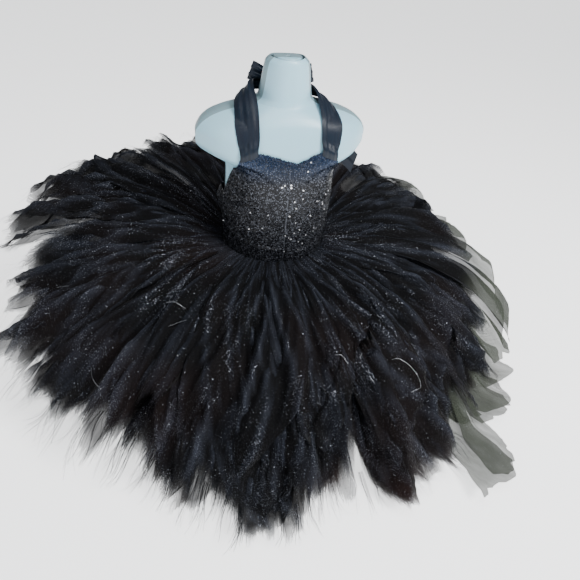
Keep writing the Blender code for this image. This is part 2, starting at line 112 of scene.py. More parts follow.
class Finish:
    def __init__(self, name, constants):
        self.material = bpy.data.materials.new(name)
        self.material.use_nodes = True
        self.tree = self.material.node_tree
        self.shader = self.tree.nodes["Principled BSDF"]
        for key, value in constants.items():
            self.shader.inputs[key].default_value = value
        self.spot = self.node("TexCoord", output="Object")
        self.map = self.node("TexCoord", output="UV")

    def node(self, kind, settings=None, inputs=None, output=0):
        made = self.tree.nodes.new("ShaderNode" + kind)
        for key, value in (settings or {}).items():
            if key == "stops":
                first, *others = value
                made.color_ramp.elements.remove(made.color_ramp.elements[1])
                made.color_ramp.elements[0].position, made.color_ramp.elements[0].color = first
                for at, colour in others:
                    made.color_ramp.elements.new(at).color = colour
            else:
                setattr(made, key, value)
        for key, value in (inputs or {}).items():
            if isinstance(value, Channel):
                self.tree.links.new(value.socket, made.inputs[key])
            else:
                made.inputs[key].default_value = value
        return Channel(self, made.outputs[output])

    def feed(self, **inputs):  # links to the shader; a name's spaces are written as _
        for key, value in inputs.items():
            self.tree.links.new(value.socket, self.shader.inputs[key.replace("_", " ")])

    def noise(self, where, scale, detail=2.0, roughness=0.5):
        return self.node("TexNoise", None, {"Vector": where, "Scale": scale, "Detail": detail,
                                            "Roughness": roughness}, "Fac")

    def stretched(self, where, scale):  # the same place with each axis scaled on its own
        return self.node("Mapping", None, {"Vector": where, "Scale": scale})

    def axis(self, where, letter):
        return self.node("SeparateXYZ", None, {"Vector": where}, letter)

    def blend(self, share, one, two):
        return self.node("Mix", {"data_type": "RGBA"}, {0: share, 6: one, 7: two}, 2)

    def ramp(self, share, *stops):
        return self.node("ValToRGB", {"stops": [(at, (value, value, value, 1)) for at, value in stops]},
                         {"Fac": share})

    def cells(self, where, scale):  # random colour of each cell, and the distance from its middle
        return self.node("TexVoronoi", None, {"Vector": where, "Scale": scale}, "Color")

    def tilted(self, random, amount):  # the surface's normal, turned differently in each cell
        lean = self.node("VectorMath", {"operation": "MULTIPLY_ADD"},
                         {0: random, 1: (amount,) * 3, 2: (-amount / 2,) * 3})
        normal = self.node("NewGeometry", None, None, "Normal")
        total = self.node("VectorMath", {"operation": "ADD"}, {0: normal, 1: lean})
        return self.node("VectorMath", {"operation": "NORMALIZE"}, {0: total})

    def relief(self, height, distance, strength=1.0):
        return self.node("Bump", None, {"Height": height, "Distance": distance, "Strength": strength})


def red(colour):
    return colour.finish.node("SeparateColor", None, {"Color": colour}, "Red")


def green(colour):
    return colour.finish.node("SeparateColor", None, {"Color": colour}, "Green")


# shapes that several pieces share
def readCurve(rows, at, column=1):
    # a smooth curve through a table's rows that never overshoots them: between two rows the height is a
    # cubic blend of theirs, and the slope at a row is the harmonic mean of the slopes on its two sides
    table = np.asarray(rows, float)
    x, y = table[:, 0], table[:, column]
    at = np.clip(np.asarray(at, float), x[0], x[-1])
    rise = np.diff(y) / np.diff(x)
    flat = rise[:-1] * rise[1:] <= 0
    middle = np.where(flat, 0, 2 * rise[:-1] * rise[1:] / np.where(flat, 1, rise[:-1] + rise[1:]))
    slope = np.concatenate((rise[:1], middle, rise[-1:]))
    k = np.clip(np.searchsorted(x, at, "right") - 1, 0, len(x) - 2)
    width = x[k + 1] - x[k]
    one = (at - x[k]) / width
    two, three = one**2, one**3
    return (y[k] * (2 * three - 3 * two + 1) + slope[k] * width * (three - 2 * two + one)
            + y[k + 1] * (3 * two - 2 * three) + slope[k + 1] * width * (three - two))


def signedPower(value, power):
    return np.sign(value) * np.abs(value) ** power


def smoothStep(low, high, value):
    share = np.clip((value - low) / (high - low), 0, 1)
    return share * share * (3 - 2 * share)


def gridFaces(rows, columns, closed=False):
    # every cell of a grid as four corner numbers, joined round from the last column to the first if closed
    r = np.arange(rows - 1)[:, None]
    c = np.arange(columns if closed else columns - 1)[None, :]
    right = (c + 1) % columns
    corners = (r * columns + c, r * columns + right, (r + 1) * columns + right, (r + 1) * columns + c)
    return np.stack([np.broadcast_to(x, (rows - 1, c.size)) for x in corners], -1).reshape(-1, 4)


def gridArea(points):
    # half the length of the cross product of each cell's diagonals
    one = points[1:, 1:] - points[:-1, :-1]
    two = points[1:, :-1] - points[:-1, 1:]
    return float(np.linalg.norm(np.cross(one, two), axis=-1).sum() / 2)


def outward(points):
    # a grid's unit normals: the way across it crossed with the way along it
    normal = np.cross(np.gradient(points, axis=1), np.gradient(points, axis=0))
    return normal / np.maximum(np.linalg.norm(normal, axis=-1, keepdims=True), 1e-12)


def makePiece(name, parts, finish, replaced=(), weld=0.0, sharpAngle=None):
    # parts: (points, faces, map) with the map's pair at each point. They become one mesh
    points = np.concatenate([part[0].reshape(-1, 3) for part in parts])
    maps = np.concatenate([part[2].reshape(-1, 2) for part in parts])
    starts = np.cumsum([0] + [part[0].size // 3 for part in parts[:-1]])
    polygons = [part[1] + start for part, start in zip(parts, starts)]
    corners = np.concatenate([p.ravel() for p in polygons])
    sizes = np.concatenate([np.full(len(p), p.shape[1]) for p in polygons])
    mesh = bpy.data.meshes.new(name)
    mesh.vertices.add(len(points))
    mesh.vertices.foreach_set("co", points.astype(np.float32).ravel())
    mesh.loops.add(len(corners))
    mesh.loops.foreach_set("vertex_index", corners.astype(np.int32))
    mesh.polygons.add(len(sizes))
    mesh.polygons.foreach_set("loop_start", np.concatenate(([0], np.cumsum(sizes)[:-1])).astype(np.int32))
    mesh.update(calc_edges=True)
    mesh.uv_layers.new(name="cloth").uv.foreach_set("vector", maps[corners].astype(np.float32).ravel())
    if weld:
        welded = bmesh.new()
        welded.from_mesh(mesh)
        bmesh.ops.remove_doubles(welded, verts=welded.verts[:], dist=weld)
        bmesh.ops.recalc_face_normals(welded, faces=welded.faces[:])
        welded.to_mesh(mesh)
        welded.free()
    mesh.validate()
    mesh.shade_smooth()
    if sharpAngle:
        mesh.set_sharp_from_angle(angle=math.radians(sharpAngle))
    mesh.materials.append(finish.material)
    made = bpy.data.objects.new(name, mesh)
    bpy.context.scene.collection.objects.link(made)
    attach(made, "root")
    if replaced:
        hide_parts(*replaced)
    return made


def keepOff(piece, target, gap):
    # points nearer to the target than gap move straight out to it
    clearing = piece.modifiers.new("clearing", "SHRINKWRAP")
    clearing.target = target
    clearing.wrap_method = "NEAREST_SURFACEPOINT"
    clearing.wrap_mode = "OUTSIDE"
    clearing.offset = gap
    bpy.context.view_layer.update()
    depsgraph = bpy.context.evaluated_depsgraph_get()
    cleared = bpy.data.meshes.new_from_object(piece.evaluated_get(depsgraph))
    piece.modifiers.clear()
    piece.data = cleared


# the torso form
formShape = {
    # z, half width, depth in front of the creases, depth behind them
    "sections": (
        (0.000, 0.084, 0.047, 0.042), (0.004, 0.087, 0.050, 0.045), (0.030, 0.093, 0.056, 0.050),
        (0.080, 0.097, 0.061, 0.052), (0.140, 0.096, 0.064, 0.050), (0.200, 0.088, 0.064, 0.045),
        (0.240, 0.0855, 0.064, 0.044), (0.300, 0.0870, 0.065, 0.046), (0.350, 0.0865, 0.0655, 0.047),
        (0.383, 0.0855, 0.0650, 0.047), (0.397, 0.0868, 0.0642, 0.047), (0.405, 0.0950, 0.0632, 0.047),
        (0.412, 0.1120, 0.0620, 0.047), (0.419, 0.1245, 0.0605, 0.047), (0.429, 0.1300, 0.0580, 0.047),
        (0.443, 0.1300, 0.0550, 0.047), (0.455, 0.1250, 0.0515, 0.046), (0.466, 0.1140, 0.0475, 0.044),
        (0.475, 0.0940, 0.0420, 0.040), (0.482, 0.0680, 0.0360, 0.036), (0.487, 0.0485, 0.0310, 0.032),
        (0.494, 0.0395, 0.0285, 0.028), (0.510, 0.0360, 0.0265, 0.025), (0.530, 0.0330, 0.0250, 0.022),
        (0.540, 0.0305, 0.0240, 0.021), (0.545, 0.0255, 0.0220, 0.019),
    ),
    # height, and how flat the front is there: the shoulder stubs are blunter than the chest
    "frontPowers": ((0.385, 2.5), (0.415, 4.0), (0.460, 4.0), (0.486, 2.5)),
    "backPower": 3.6,
    "frontSteps": 72,
    "backSteps": 56,
    "heights": 190,
    "foot": (0.96, 0.5),    # the rings that close the base, as shares of the lowest section
    # the neck's end: height, then size as a share of the last section. A groove runs round the cap, with
    # a hole for a hanging hook in its middle
    "cap": (
        (0.5454, 0.975), (0.5456, 0.955), (0.5450, 0.945), (0.5418, 0.935), (0.5412, 0.86), (0.5420, 0.795),
        (0.5451, 0.785), (0.5460, 0.75), (0.5463, 0.60), (0.5464, 0.40), (0.5464, 0.16), (0.5458, 0.135),
        (0.5420, 0.125), (0.5380, 0.120), (0.5378, 0.0),
    ),
}


def formFrontY(x, z):
    # depth in front, times one less a power of how far out towards the crease
    reach = np.minimum(1, np.abs(x) / readCurve(formShape["sections"], z, 1))
    return -readCurve(formShape["sections"], z, 2) * (1 - reach ** readCurve(formShape["frontPowers"], z))


def formPoint(z, angle):
    # ahead of the creases x goes as the sine and y follows the front; behind, a squared-off ellipse
    across, ahead = np.sin(angle), np.cos(angle)
    halfWidth = readCurve(formShape["sections"], z, 1)
    back = readCurve(formShape["sections"], z, 3)
    power = 2 / formShape["backPower"]
    x = np.where(ahead >= 0, halfWidth * across, halfWidth * signedPower(across, power))
    y = np.where(ahead >= 0, formFrontY(x, z), back * np.abs(ahead) ** power)
    return np.stack((x, y, z + 0 * angle), -1)


def makeForm(f, finish):
    front = -np.pi / 2 + np.pi * np.arange(f["frontSteps"]) / f["frontSteps"]
    back = np.pi / 2 + np.pi * np.arange(f["backSteps"]) / f["backSteps"]
    angle = np.concatenate((front, back))[None, :]
    low, high = f["sections"][0][0], f["sections"][-1][0]
    z = np.union1d(np.linspace(low, high, f["heights"]), [row[0] for row in f["sections"]])[:, None]
    body = formPoint(z, angle)
    cap = np.array(f["cap"])
    top = body[-1][None] * np.array((1.0, 1.0, 0.0)) * cap[:, 1][:, None, None]
    top[..., 2] = cap[:, 0][:, None]
    foot = body[0][None] * np.array(f["foot"])[:, None, None]
    foot = np.concatenate((body[0][None] * 0, foot[::-1]))
    points = np.concatenate((foot, body, top))
    rows, columns = points.shape[:2]
    # the map's second number is 1 in the groove round the cap and in the hook's hole, and 0 elsewhere; the
    # plastic's finish paints shade there
    dark = np.zeros(rows)
    dark[rows - len(cap):] = (cap[:, 0] < 0.5450) & (np.arange(len(cap)) < len(cap) - 1)
    spread = np.stack(np.meshgrid(np.linspace(0, 1, columns), dark), -1)
    return makePiece("torso_form", [(points, gridFaces(rows, columns, True), spread)], finish,
                     ("dress_form",), weld=1e-6, sharpAngle=38)


def plasticFinish():
    f = Finish("moulded plastic", {"Roughness": 0.36, "Coat Weight": 0.12, "Coat Roughness": 0.25,
                                   "Subsurface Weight": 0.06, "Subsurface Scale": 0.01})
    cloud = f.noise(f.spot, 9.0, 3.0)
    dust = f.noise(f.spot, 320.0, 4.0, 0.7)
    scuff = f.ramp(f.noise(f.stretched(f.spot, (60, 60, 14)), 1.0, 6.0, 0.75), (0.62, 0.0), (0.74, 1.0))
    colour = f.blend(cloud, (0.360, 0.620, 0.750, 1), (0.415, 0.680, 0.805, 1))
    colour = f.blend(scuff * 0.22, colour, (0.40, 0.46, 0.47, 1))
    # the back half of the moulding is painted greyer, from its side creases on, and over the shoulders from
    # a little ahead of them: painted shade on the faces turned away from the key light, not a different
    # plastic
    place = f.axis(f.spot, "Y")
    over = f.ramp(place.output("Z"), (0.435, 0.0), (0.465, 1.0))
    behind = place + 0.007 * red(over) > 0.0004
    colour = f.blend(behind * 0.75, colour, (0.150, 0.200, 0.212, 1))
    # painted shade: the groove round the cap and the hook's hole are darkened almost to black
    grooveShade = f.axis(f.map, "Y")
    colour = f.blend(grooveShade * 0.85, colour, (0.035, 0.045, 0.050, 1))
    f.feed(Base_Color=colour, Roughness=0.32 + 0.10 * cloud + 0.12 * scuff,
           Normal=f.relief(dust + 6 * cloud, 0.00012, 0.5))
    return f


plastic = plasticFinish()
form = makeForm(formShape, plastic)
print("form made")


# the bodice: two panels of sequin cloth
bodiceShape = {
    "bottom": 0.216,
    "widths": ((0.200, 0.0900), (0.240, 0.0870), (0.300, 0.0885), (0.355, 0.0882), (0.440, 0.0880)),
    # distance from the centre front, height of the top edge
    "neckline": ((0.0000, 0.4190), (0.0200, 0.4262), (0.0445, 0.4330), (0.0700, 0.4225), (0.0765, 0.3990),
                 (0.0825, 0.3720), (0.0880, 0.3440)),
    "dipAt": 0.010,         # the V's lowest point, towards the wearer's left
    "backTop": 0.344,
    "backDip": 0.012,
    "frontPower": 2.5,
    "frontRound": 0.85,
    # between these heights the front runs straight, in full up to the first distance from the centre
    # front and not at all past the second
    "tautHeights": (0.335, 0.420),
    "tautReach": (0.060, 0.085),
    "backPower": 3.6,
    "seam": 0.0005,
    "ease": 0.0023,         # from the form's skin to the middle of the cloth
    "offForm": 0.0016,      # least distance between them
    "radius": 0.088,        # turns an angle into a distance round the cloth
    "rows": 110,
    "widthRow": 70,         # a panel's flat width is measured along this row
    "frontColumns": 161,
    "backColumns": 141,
    "fold": {"angle": math.radians(-112), "z": 0.318, "halfAngle": math.radians(17), "halfHeight": 0.036,
             "depth": 0.011},
    "edgeWobble": 0.0011,   # the cut edge wanders between the sequins
    "centreSeam": (0.0007, 0.0011),  # depth and half breadth of the centre front seam
    "creaseRadius": 0.085,
    "creases": (
        # angle, height, tilt, length, breadth and depth of each crease in the cloth
        (-0.95, 0.345, 0.55, 0.050, 0.0045, 0.0016), (-0.62, 0.300, 0.35, 0.045, 0.0050, 0.0012),
        (-1.15, 0.285, -0.25, 0.040, 0.0040, 0.0015), (0.80, 0.330, -0.50, 0.052, 0.0050, 0.0015),
        (1.12, 0.275, 0.30, 0.042, 0.0045, 0.0014), (0.30, 0.262, 0.12, 0.050, 0.0045, 0.0010),
        (-0.25, 0.270, -0.10, 0.055, 0.0045, 0.0012), (2.20, 0.300, 0.20, 0.060, 0.0050, 0.0016),
        (3.10, 0.280, -0.15, 0.060, 0.0050, 0.0014), (3.90, 0.330, 0.30, 0.055, 0.0050, 0.0014),
    ),
}
sequinShape = {
    "pitch": 0.00190, "rowPitch": 0.87,     # the second as a share of the first
    "roundRadius": 0.0905,                  # of the bodice, for the number of discs in a row
    "radius": 0.00096, "sizes": (0.85, 1.1), "sides": 6,
    "jitter": 0.35, "tilt": 0.26, "rise": 0.00045,
    "past": 0.0006,                         # how far the discs stand past the cloth's top edge
    "offForm": 0.0019,
    "glintShare": 0.018, "glintSize": 1.6,
    # x and z of the spot round which most silver discs lie, and how few there are elsewhere, front and
    # back. The silver discs are painted glints: the sequins are black, and the silver stands in for light
    # caught where the lamps strike the bodice
    "glintSpot": (0.030, 0.320), "glintSpread": (0.050, 0.075), "glintElsewhere": (0.984, 0.988),
    "seamAngle": 0.009, "seamHighlight": 0.93,   # beside the centre seam the discs are painted a lighter grey and given rougher gloss: a painted highlight line along the seam
}


def necklineZ(angle):
    ahead = np.cos(angle)
    aside = bodiceShape["neckline"][-1][0] * np.sin(angle)
    corner, low = bodiceShape["neckline"][2][0], bodiceShape["dipAt"]
    # between the straps the lowest point is moved from the middle to dipAt
    share = np.where(aside > low, (aside - low) / (corner - low), (low - aside) / (corner + low))
    reach = np.where(np.abs(aside) < corner, corner * share, np.abs(aside))
    back = bodiceShape["backTop"] - bodiceShape["backDip"] * (1 - np.abs(np.sin(angle)) ** 2)
    return np.where(ahead >= 0, readCurve(bodiceShape["neckline"], reach), back)


def clothFrontY(x, z, across, out):
    # the front bridges the form's side crease and stays clear of its chest
    b = bodiceShape
    front = readCurve(formShape["sections"], z, 2) + out
    bridged = -front * np.maximum(0, 1 - np.abs(across) ** b["frontPower"]) ** b["frontRound"]
    return np.minimum(bridged, formFrontY(x, z) - out)


def bodicePoint(z, angle, out):
    # over the step under the shoulders the front is pulled straight. The back is a squared ellipse with
    # one loose fold, a bump that falls to nothing at its rim
    b = bodiceShape
    across, ahead = np.sin(angle), np.cos(angle)
    halfWidth = readCurve(b["widths"], z)
    x = (halfWidth + out) * across
    y = clothFrontY(x, z, across, out)
    low, high = b["tautHeights"]
    part = np.clip((z - low) / (high - low), 0, 1)
    straight = clothFrontY(x, low, across, out) * (1 - part) + clothFrontY(x, high, across, out) * part
    near, far = b["tautReach"]
    pull = np.clip((far - np.abs(x)) / (far - near), 0, 1) * ((z > low) & (z < high))
    y = y + np.minimum(0, straight - y) * pull
    turned = (angle + np.pi) % (2 * np.pi) - np.pi
    one = np.clip(1 - ((turned - b["fold"]["angle"]) / b["fold"]["halfAngle"]) ** 2, 0, 1)
    two = np.clip(1 - ((z - b["fold"]["z"]) / b["fold"]["halfHeight"]) ** 2, 0, 1)
    away = out + b["fold"]["depth"] * one**2 * two**2
    power = 2 / b["backPower"]
    backX = (halfWidth + away) * signedPower(across, power)
    backY = (readCurve(formShape["sections"], z, 3) + away) * np.abs(ahead) ** power
    isFront = ahead >= 0
    return np.stack((np.where(isFront, x, backX), np.where(isFront, y, backY), z + 0 * x), -1)


def creased(z, angle):
    # the sum of long narrow bumps, each a bell across its own line and a wider bell along it
    total = np.zeros(np.broadcast(z, angle).shape)
    for at, height, tilt, length, breadth, depth in bodiceShape["creases"]:
        aside = (angle - at) * bodiceShape["creaseRadius"]
        up = z - height
        along = aside * math.cos(tilt) + up * math.sin(tilt)
        across = up * math.cos(tilt) - aside * math.sin(tilt)
        total = total + depth * np.exp(-(across / breadth) ** 2 - (along / (0.5 * length)) ** 2)
    return total


def clothPoint(z, angle):
    # the bodice with its creases, and the centre seam as a narrow dip
    depth, breadth = bodiceShape["centreSeam"]
    dip = depth * np.exp(-((angle * bodiceShape["radius"]) / breadth) ** 2)
    return bodicePoint(z, angle, bodiceShape["ease"] + creased(z, angle) - dip)


def makePanel(side, first, last, columns, finish):
    b = bodiceShape
    angle = np.linspace(first, last, columns)[None, :]
    wobble = b["edgeWobble"] * seeded.uniform(-1, 1, columns)[None, :]
    v = np.linspace(0, 1, b["rows"])[:, None]
    z = b["bottom"] + (necklineZ(angle) + wobble - b["bottom"]) * v
    points = clothPoint(z, angle)
    spread = np.stack(np.broadcast_arrays(angle * b["radius"], z), -1)
    panel = makePiece(f"bodice_{side}_panel", [(points, gridFaces(b["rows"], columns), spread)], finish,
                      ("bodice_" + side,))
    keepOff(panel, form, b["offForm"])
    return panel, float(z[-1].max() - b["bottom"])


def makeSequins(side, first, last, high, finish):
    # discs in staggered rows over the panel, each turned a little its own way
    b, s = bodiceShape, sequinShape
    columns = int((last - first) * s["roundRadius"] / s["pitch"])
    rows = int(high / (s["pitch"] * s["rowPitch"]))
    r, c = np.meshgrid(np.arange(rows), np.arange(columns), indexing="ij")
    shift = seeded.uniform(-s["jitter"], s["jitter"], (2, rows, columns))
    a = first + (last - first) * (c + 0.5 * (r % 2) + 0.25 + shift[0]) / columns
    h = b["bottom"] + high * (r + 0.5 + shift[1]) / rows
    keep = (h < necklineZ(a) + s["past"]) & (a > first) & (a < last)
    a, h = a[keep], h[keep]
    middle = clothPoint(h, a)
    step = 0.0006
    sideways = clothPoint(h, a + step / b["radius"]) - middle
    upward = clothPoint(h + step, a) - middle
    sideways /= np.linalg.norm(sideways, axis=1, keepdims=True)
    normal = np.cross(sideways, upward)
    normal /= np.linalg.norm(normal, axis=1, keepdims=True)
    normal = normal + seeded.normal(0, s["tilt"], (len(a), 3)) * normal[:, [1, 2, 0]]
    normal /= np.linalg.norm(normal, axis=1, keepdims=True)
    one = sideways - normal * (sideways * normal).sum(1, keepdims=True)
    one /= np.linalg.norm(one, axis=1, keepdims=True)
    two = np.cross(normal, one)
    radius = s["radius"] * seeded.uniform(*s["sizes"], len(a))
    # two random numbers for each disc: the first picks the silver ones, painted glints, which are larger
    luck = seeded.uniform(0, 1, (len(a), 2))
    away = sum(((middle[:, axis] - at) / far) ** 2
               for axis, at, far in zip((0, 2), s["glintSpot"], s["glintSpread"]))
    ahead, behind = s["glintElsewhere"]
    luck[:, 0] *= np.where(middle[:, 1] < 0, ahead + (1 - ahead) * np.exp(-away), behind)
    # painted highlight: discs beside the centre seam get a high second number, so they come out lighter
    # grey
    luck[:, 1] = np.where(np.abs(a) < s["seamAngle"], s["seamHighlight"], luck[:, 1])
    radius = np.where(luck[:, 0] > 1 - s["glintShare"], s["glintSize"], 1) * radius
    turn = (np.arange(s["sides"]) * 2 * np.pi / s["sides"])[None, :, None]
    rim = radius[:, None, None] * (np.cos(turn) * one[:, None] + np.sin(turn) * two[:, None])
    discs = (middle + normal * s["rise"])[:, None] + rim
    faces = np.arange(len(a) * s["sides"]).reshape(-1, s["sides"])
    sequins = makePiece("sequins_" + side, [(discs, faces, np.repeat(luck, s["sides"], axis=0))], finish)
    keepOff(sequins, form, s["offForm"])


def sequinClothFinish():
    f = Finish("sequin cloth", {"Metallic": 0.0, "Sheen Weight": 0.15, "Sheen Roughness": 0.4})
    random = f.cells(f.spot, 900.0)
    knit = f.noise(f.spot, 1500.0, 2.0)
    colour = f.blend(red(random), (0.004, 0.005, 0.008, 1), (0.016, 0.019, 0.028, 1))
    f.feed(Base_Color=colour, Roughness=0.35 + 0.3 * knit, Normal=f.relief(knit, 0.0003, 0.8))
    return f


def sequinFinish():
    # the map holds two random numbers for each disc: the first picks the bright ones, silver discs painted
    # in as glints
    f = Finish("sequins", {"Specular IOR Level": 0.6})
    luck = f.axis(f.map, "X")
    second = luck.output("Y")
    glintDisc = luck > 1 - sequinShape["glintShare"]
    # painted sheen: the sequins turn blue towards the top of the bodice, standing in for a bluish light
    # there
    blueSheen = f.ramp(f.axis(f.spot, "Z"), (0.385, 0.0), (0.43, 1.0))
    grey = f.ramp(second, (0.62, 0.0), (1.0, 1.0))
    dark = f.blend(red(grey), (0.002, 0.002, 0.004, 1), (0.138, 0.149, 0.178, 1))
    dark = f.blend(red(blueSheen) * 0.7, dark, (0.010, 0.038, 0.105, 1))
    f.feed(Base_Color=f.blend(glintDisc, dark, (0.92, 0.92, 0.95, 1)), Metallic=0.55 + 0.45 * glintDisc,
           Roughness=0.17 + 0.20 * second + 0.12 * glintDisc)
    return f


sequinCloth = sequinClothFinish()
sequinGloss = sequinFinish()
halfSeam = math.asin(bodiceShape["seam"] / bodiceShape["neckline"][-1][0])
panels = {}
for side, first, last in (("front", -math.pi / 2 + halfSeam, math.pi / 2 - halfSeam),
                          ("back", math.pi / 2, 3 * math.pi / 2)):
    panels[side], high = makePanel(side, first, last, bodiceShape[side + "Columns"], sequinCloth)
    makeSequins(side, first, last, high, sequinGloss)
print("bodice made")


# the satin straps and the bow behind the neck
strapShape = {
    # inner edge x, y, z, then outer edge x, y, z, from the bodice's top edge to the knot, wearer's left
    "edges": (
        (0.0450, -0.0550, 0.4520, 0.0735, -0.0450, 0.4410),
        (0.0450, -0.0430, 0.4750, 0.0765, -0.0290, 0.4660),
        (0.0450, -0.0230, 0.4890, 0.0750, -0.0080, 0.4800),
        (0.0460, 0.0000, 0.4980, 0.0680, 0.0140, 0.4840),
        (0.0435, 0.0220, 0.5030, 0.0550, 0.0320, 0.4830),
        (0.0310, 0.0330, 0.5050, 0.0370, 0.0390, 0.4850),
        (0.0160, 0.0350, 0.5050, 0.0165, 0.0358, 0.4890),
        (0.0008, 0.0350, 0.5030, 0.0008, 0.0350, 0.4910),
    ),
    "seat": (0.0450, 0.0690),  # the stretch of the bodice's top edge that a strap is sewn to
    "seatOut": 0.0042,      # from the form's skin
    "seatRise": 0.0028,
    "offForm": 0.0012,
    "rightLift": 0.007,
    "cup": 0.0022,
    "rows": 120,
    "columns": 29,
    "pleats": (0.0011, 1.7, 1.1),  # height, number across the ribbon and phase of the lengthwise creases
    # how strong they are at the seat, then how much that changes between two shares of the strap's length
    "creased": (0.45, (1.1, 0.35, 0.75), (-0.5, 0.85, 1.0)),
    "start": -0.25,         # counted in rows of edges, before the seat at 0
    "buried": (0.0002, 0.006),  # how far in and down the ribbon runs on under the bodice's top edge
}
bowShape = {
    "knot": (0.0, 0.0475, 0.4970),
    "knotHalf": (0.0105, 0.0090, 0.0105),
    "knotSteps": (40, 72),
    "squareness": 0.75,     # of the knot: 1 is an egg, lower is boxier
    "rows": 90,
    "columns": 23,
    "wraps": (0.96, 0.035, 10, 1.5),  # size of the knot, and depth, number and slant of its ripple
    "knotMap": 0.01,
    # height, number and phase of the lengthwise creases, least strength, and how much more at the knot
    "loopPleats": (0.0008, 2.2, 0.6, 0.5, 0.9),
    "tailPleats": (0.0012, 1.4, 2.0, 0.35, 0.9),
    "loopTurn": (0.02, 0.98),  # share of a whole turn at which a loop leaves the knot and comes back
    "opening": 0.007,
    "start": (0.0103, 0.0060),
    "loopWidth": 0.026,
    "pinch": 0.42,
    "tailWidth": 0.030,
    "tailStart": 0.0102,
    "tailPinch": 0.36,
    "tailGather": (3, 0.8),  # a tail is at full width after one part in this many; a power blunts the way
    "tailBelly": 0.006,
    "tailAway": 0.007,
    "slant": (0.018, 6),    # of a tail's end, and how late it begins
    # name, side, lean in degrees and reach of each loop, and also the distance aside of each tail's start
    "loops": (("left", 1, 15, 0.044), ("right", -1, 20, 0.036)),
    "tails": (("left", 1, 0.0020, 47, 0.190), ("right", -1, 0.0052, 12, 0.150)),
}
creaseShape = {
    "drift": ((0.9, 2.4), (0.35, 7.1)),  # how far the creases wander, and how fast along the ribbon
    "finer": (0.5, 2.3, 0.7),  # the finer set's share, how many more of them, and how slantwise they run
    "edge": 6,              # flat at the edge, and in full after one part in this many
}


def ribbonPiece(name, left, right, cup, pleats, finish, replaced):
    # each row runs straight from the left edge to the right one. It is raised in its middle by cup, and
    # by pleats, a height for each point
    share = np.linspace(0, 1, pleats.shape[1])[None, :, None]
    flat = left[:, None] * (1 - share) + right[:, None] * share
    points = flat + outward(flat) * (cup * 4 * share * (1 - share) + pleats[..., None])
    length = np.concatenate(([0], np.cumsum(np.linalg.norm(np.diff(flat.mean(1), axis=0), axis=1))))
    widest = float(np.linalg.norm(right - left, axis=1).max())
    spread = np.stack(np.broadcast_arrays(share[..., 0] * widest, length[:, None]), -1)
    faces = gridFaces(*points.shape[:2])
    made = makePiece(name, [(points, faces, spread)], finish, replaced)
    return made


def ribbonPleats(rows, columns, height, waves, phase, gather):
    # lengthwise creases: waves across the ribbon that drift along it, and a finer set over them. They are
    # stronger where the ribbon is gathered and fade at its woven edges
    c = creaseShape
    v = np.linspace(0, 1, rows)[:, None]
    u = np.linspace(0, 1, columns)[None, :]
    drift = sum(far * np.sin(rate * v + n * phase) for n, (far, rate) in enumerate(c["drift"], 1))
    share, more, slant = c["finer"]
    finer = share * np.sin(2 * np.pi * (more * waves * u + slant * v) + phase)
    wave = np.sin(2 * np.pi * waves * u + drift) + finer
    fade = np.minimum(1, np.minimum(u, 1 - u) * c["edge"])
    return height * wave * fade * gather(v)


def makeStraps(s, finish):
    for side, name in ((1, "strap_left"), (-1, "strap_right")):
        seats = []
        for reach in s["seat"]:
            z = readCurve(bodiceShape["neckline"], reach)
            angle = math.asin(reach / readCurve(bodiceShape["widths"], z))
            x, y, z = bodicePoint(np.array(z), np.array(angle), s["seatOut"])
            seats += [x, y, z + s["seatRise"]]
        inward, down = s["buried"]
        below = [seats[0], seats[1] + inward, seats[2] - down, seats[3], seats[4] + inward, seats[5] - down]
        table = [(s["start"], *below), (0, *seats)] + [(k + 1, *row) for k, row in enumerate(s["edges"])]
        at = np.linspace(s["start"], len(s["edges"]), s["rows"])
        inner = np.stack([readCurve(table, at, column) for column in (1, 2, 3)], -1)
        outer = np.stack([readCurve(table, at, column) for column in (4, 5, 6)], -1)
        if side < 0:
            lift = s["rightLift"] * np.sin(np.pi * np.clip(at, 0, None) / len(s["edges"]))
            inner[:, 2] += lift
            outer[:, 2] += lift
        inner[:, 0] *= side
        outer[:, 0] *= side
        left, right = (inner, outer) if side > 0 else (outer, inner)

        def gather(v):
            atSeat, *changes = s["creased"]
            return sum((amount * smoothStep(first, last, v) for amount, first, last in changes), atSeat)

        height, waves, phase = s["pleats"]
        pleats = ribbonPleats(s["rows"], s["columns"], height, waves, phase + side, gather)
        made = ribbonPiece(name + "_ribbon", left, right, s["cup"], pleats, finish, (name,))
        keepOff(made, form, s["offForm"])


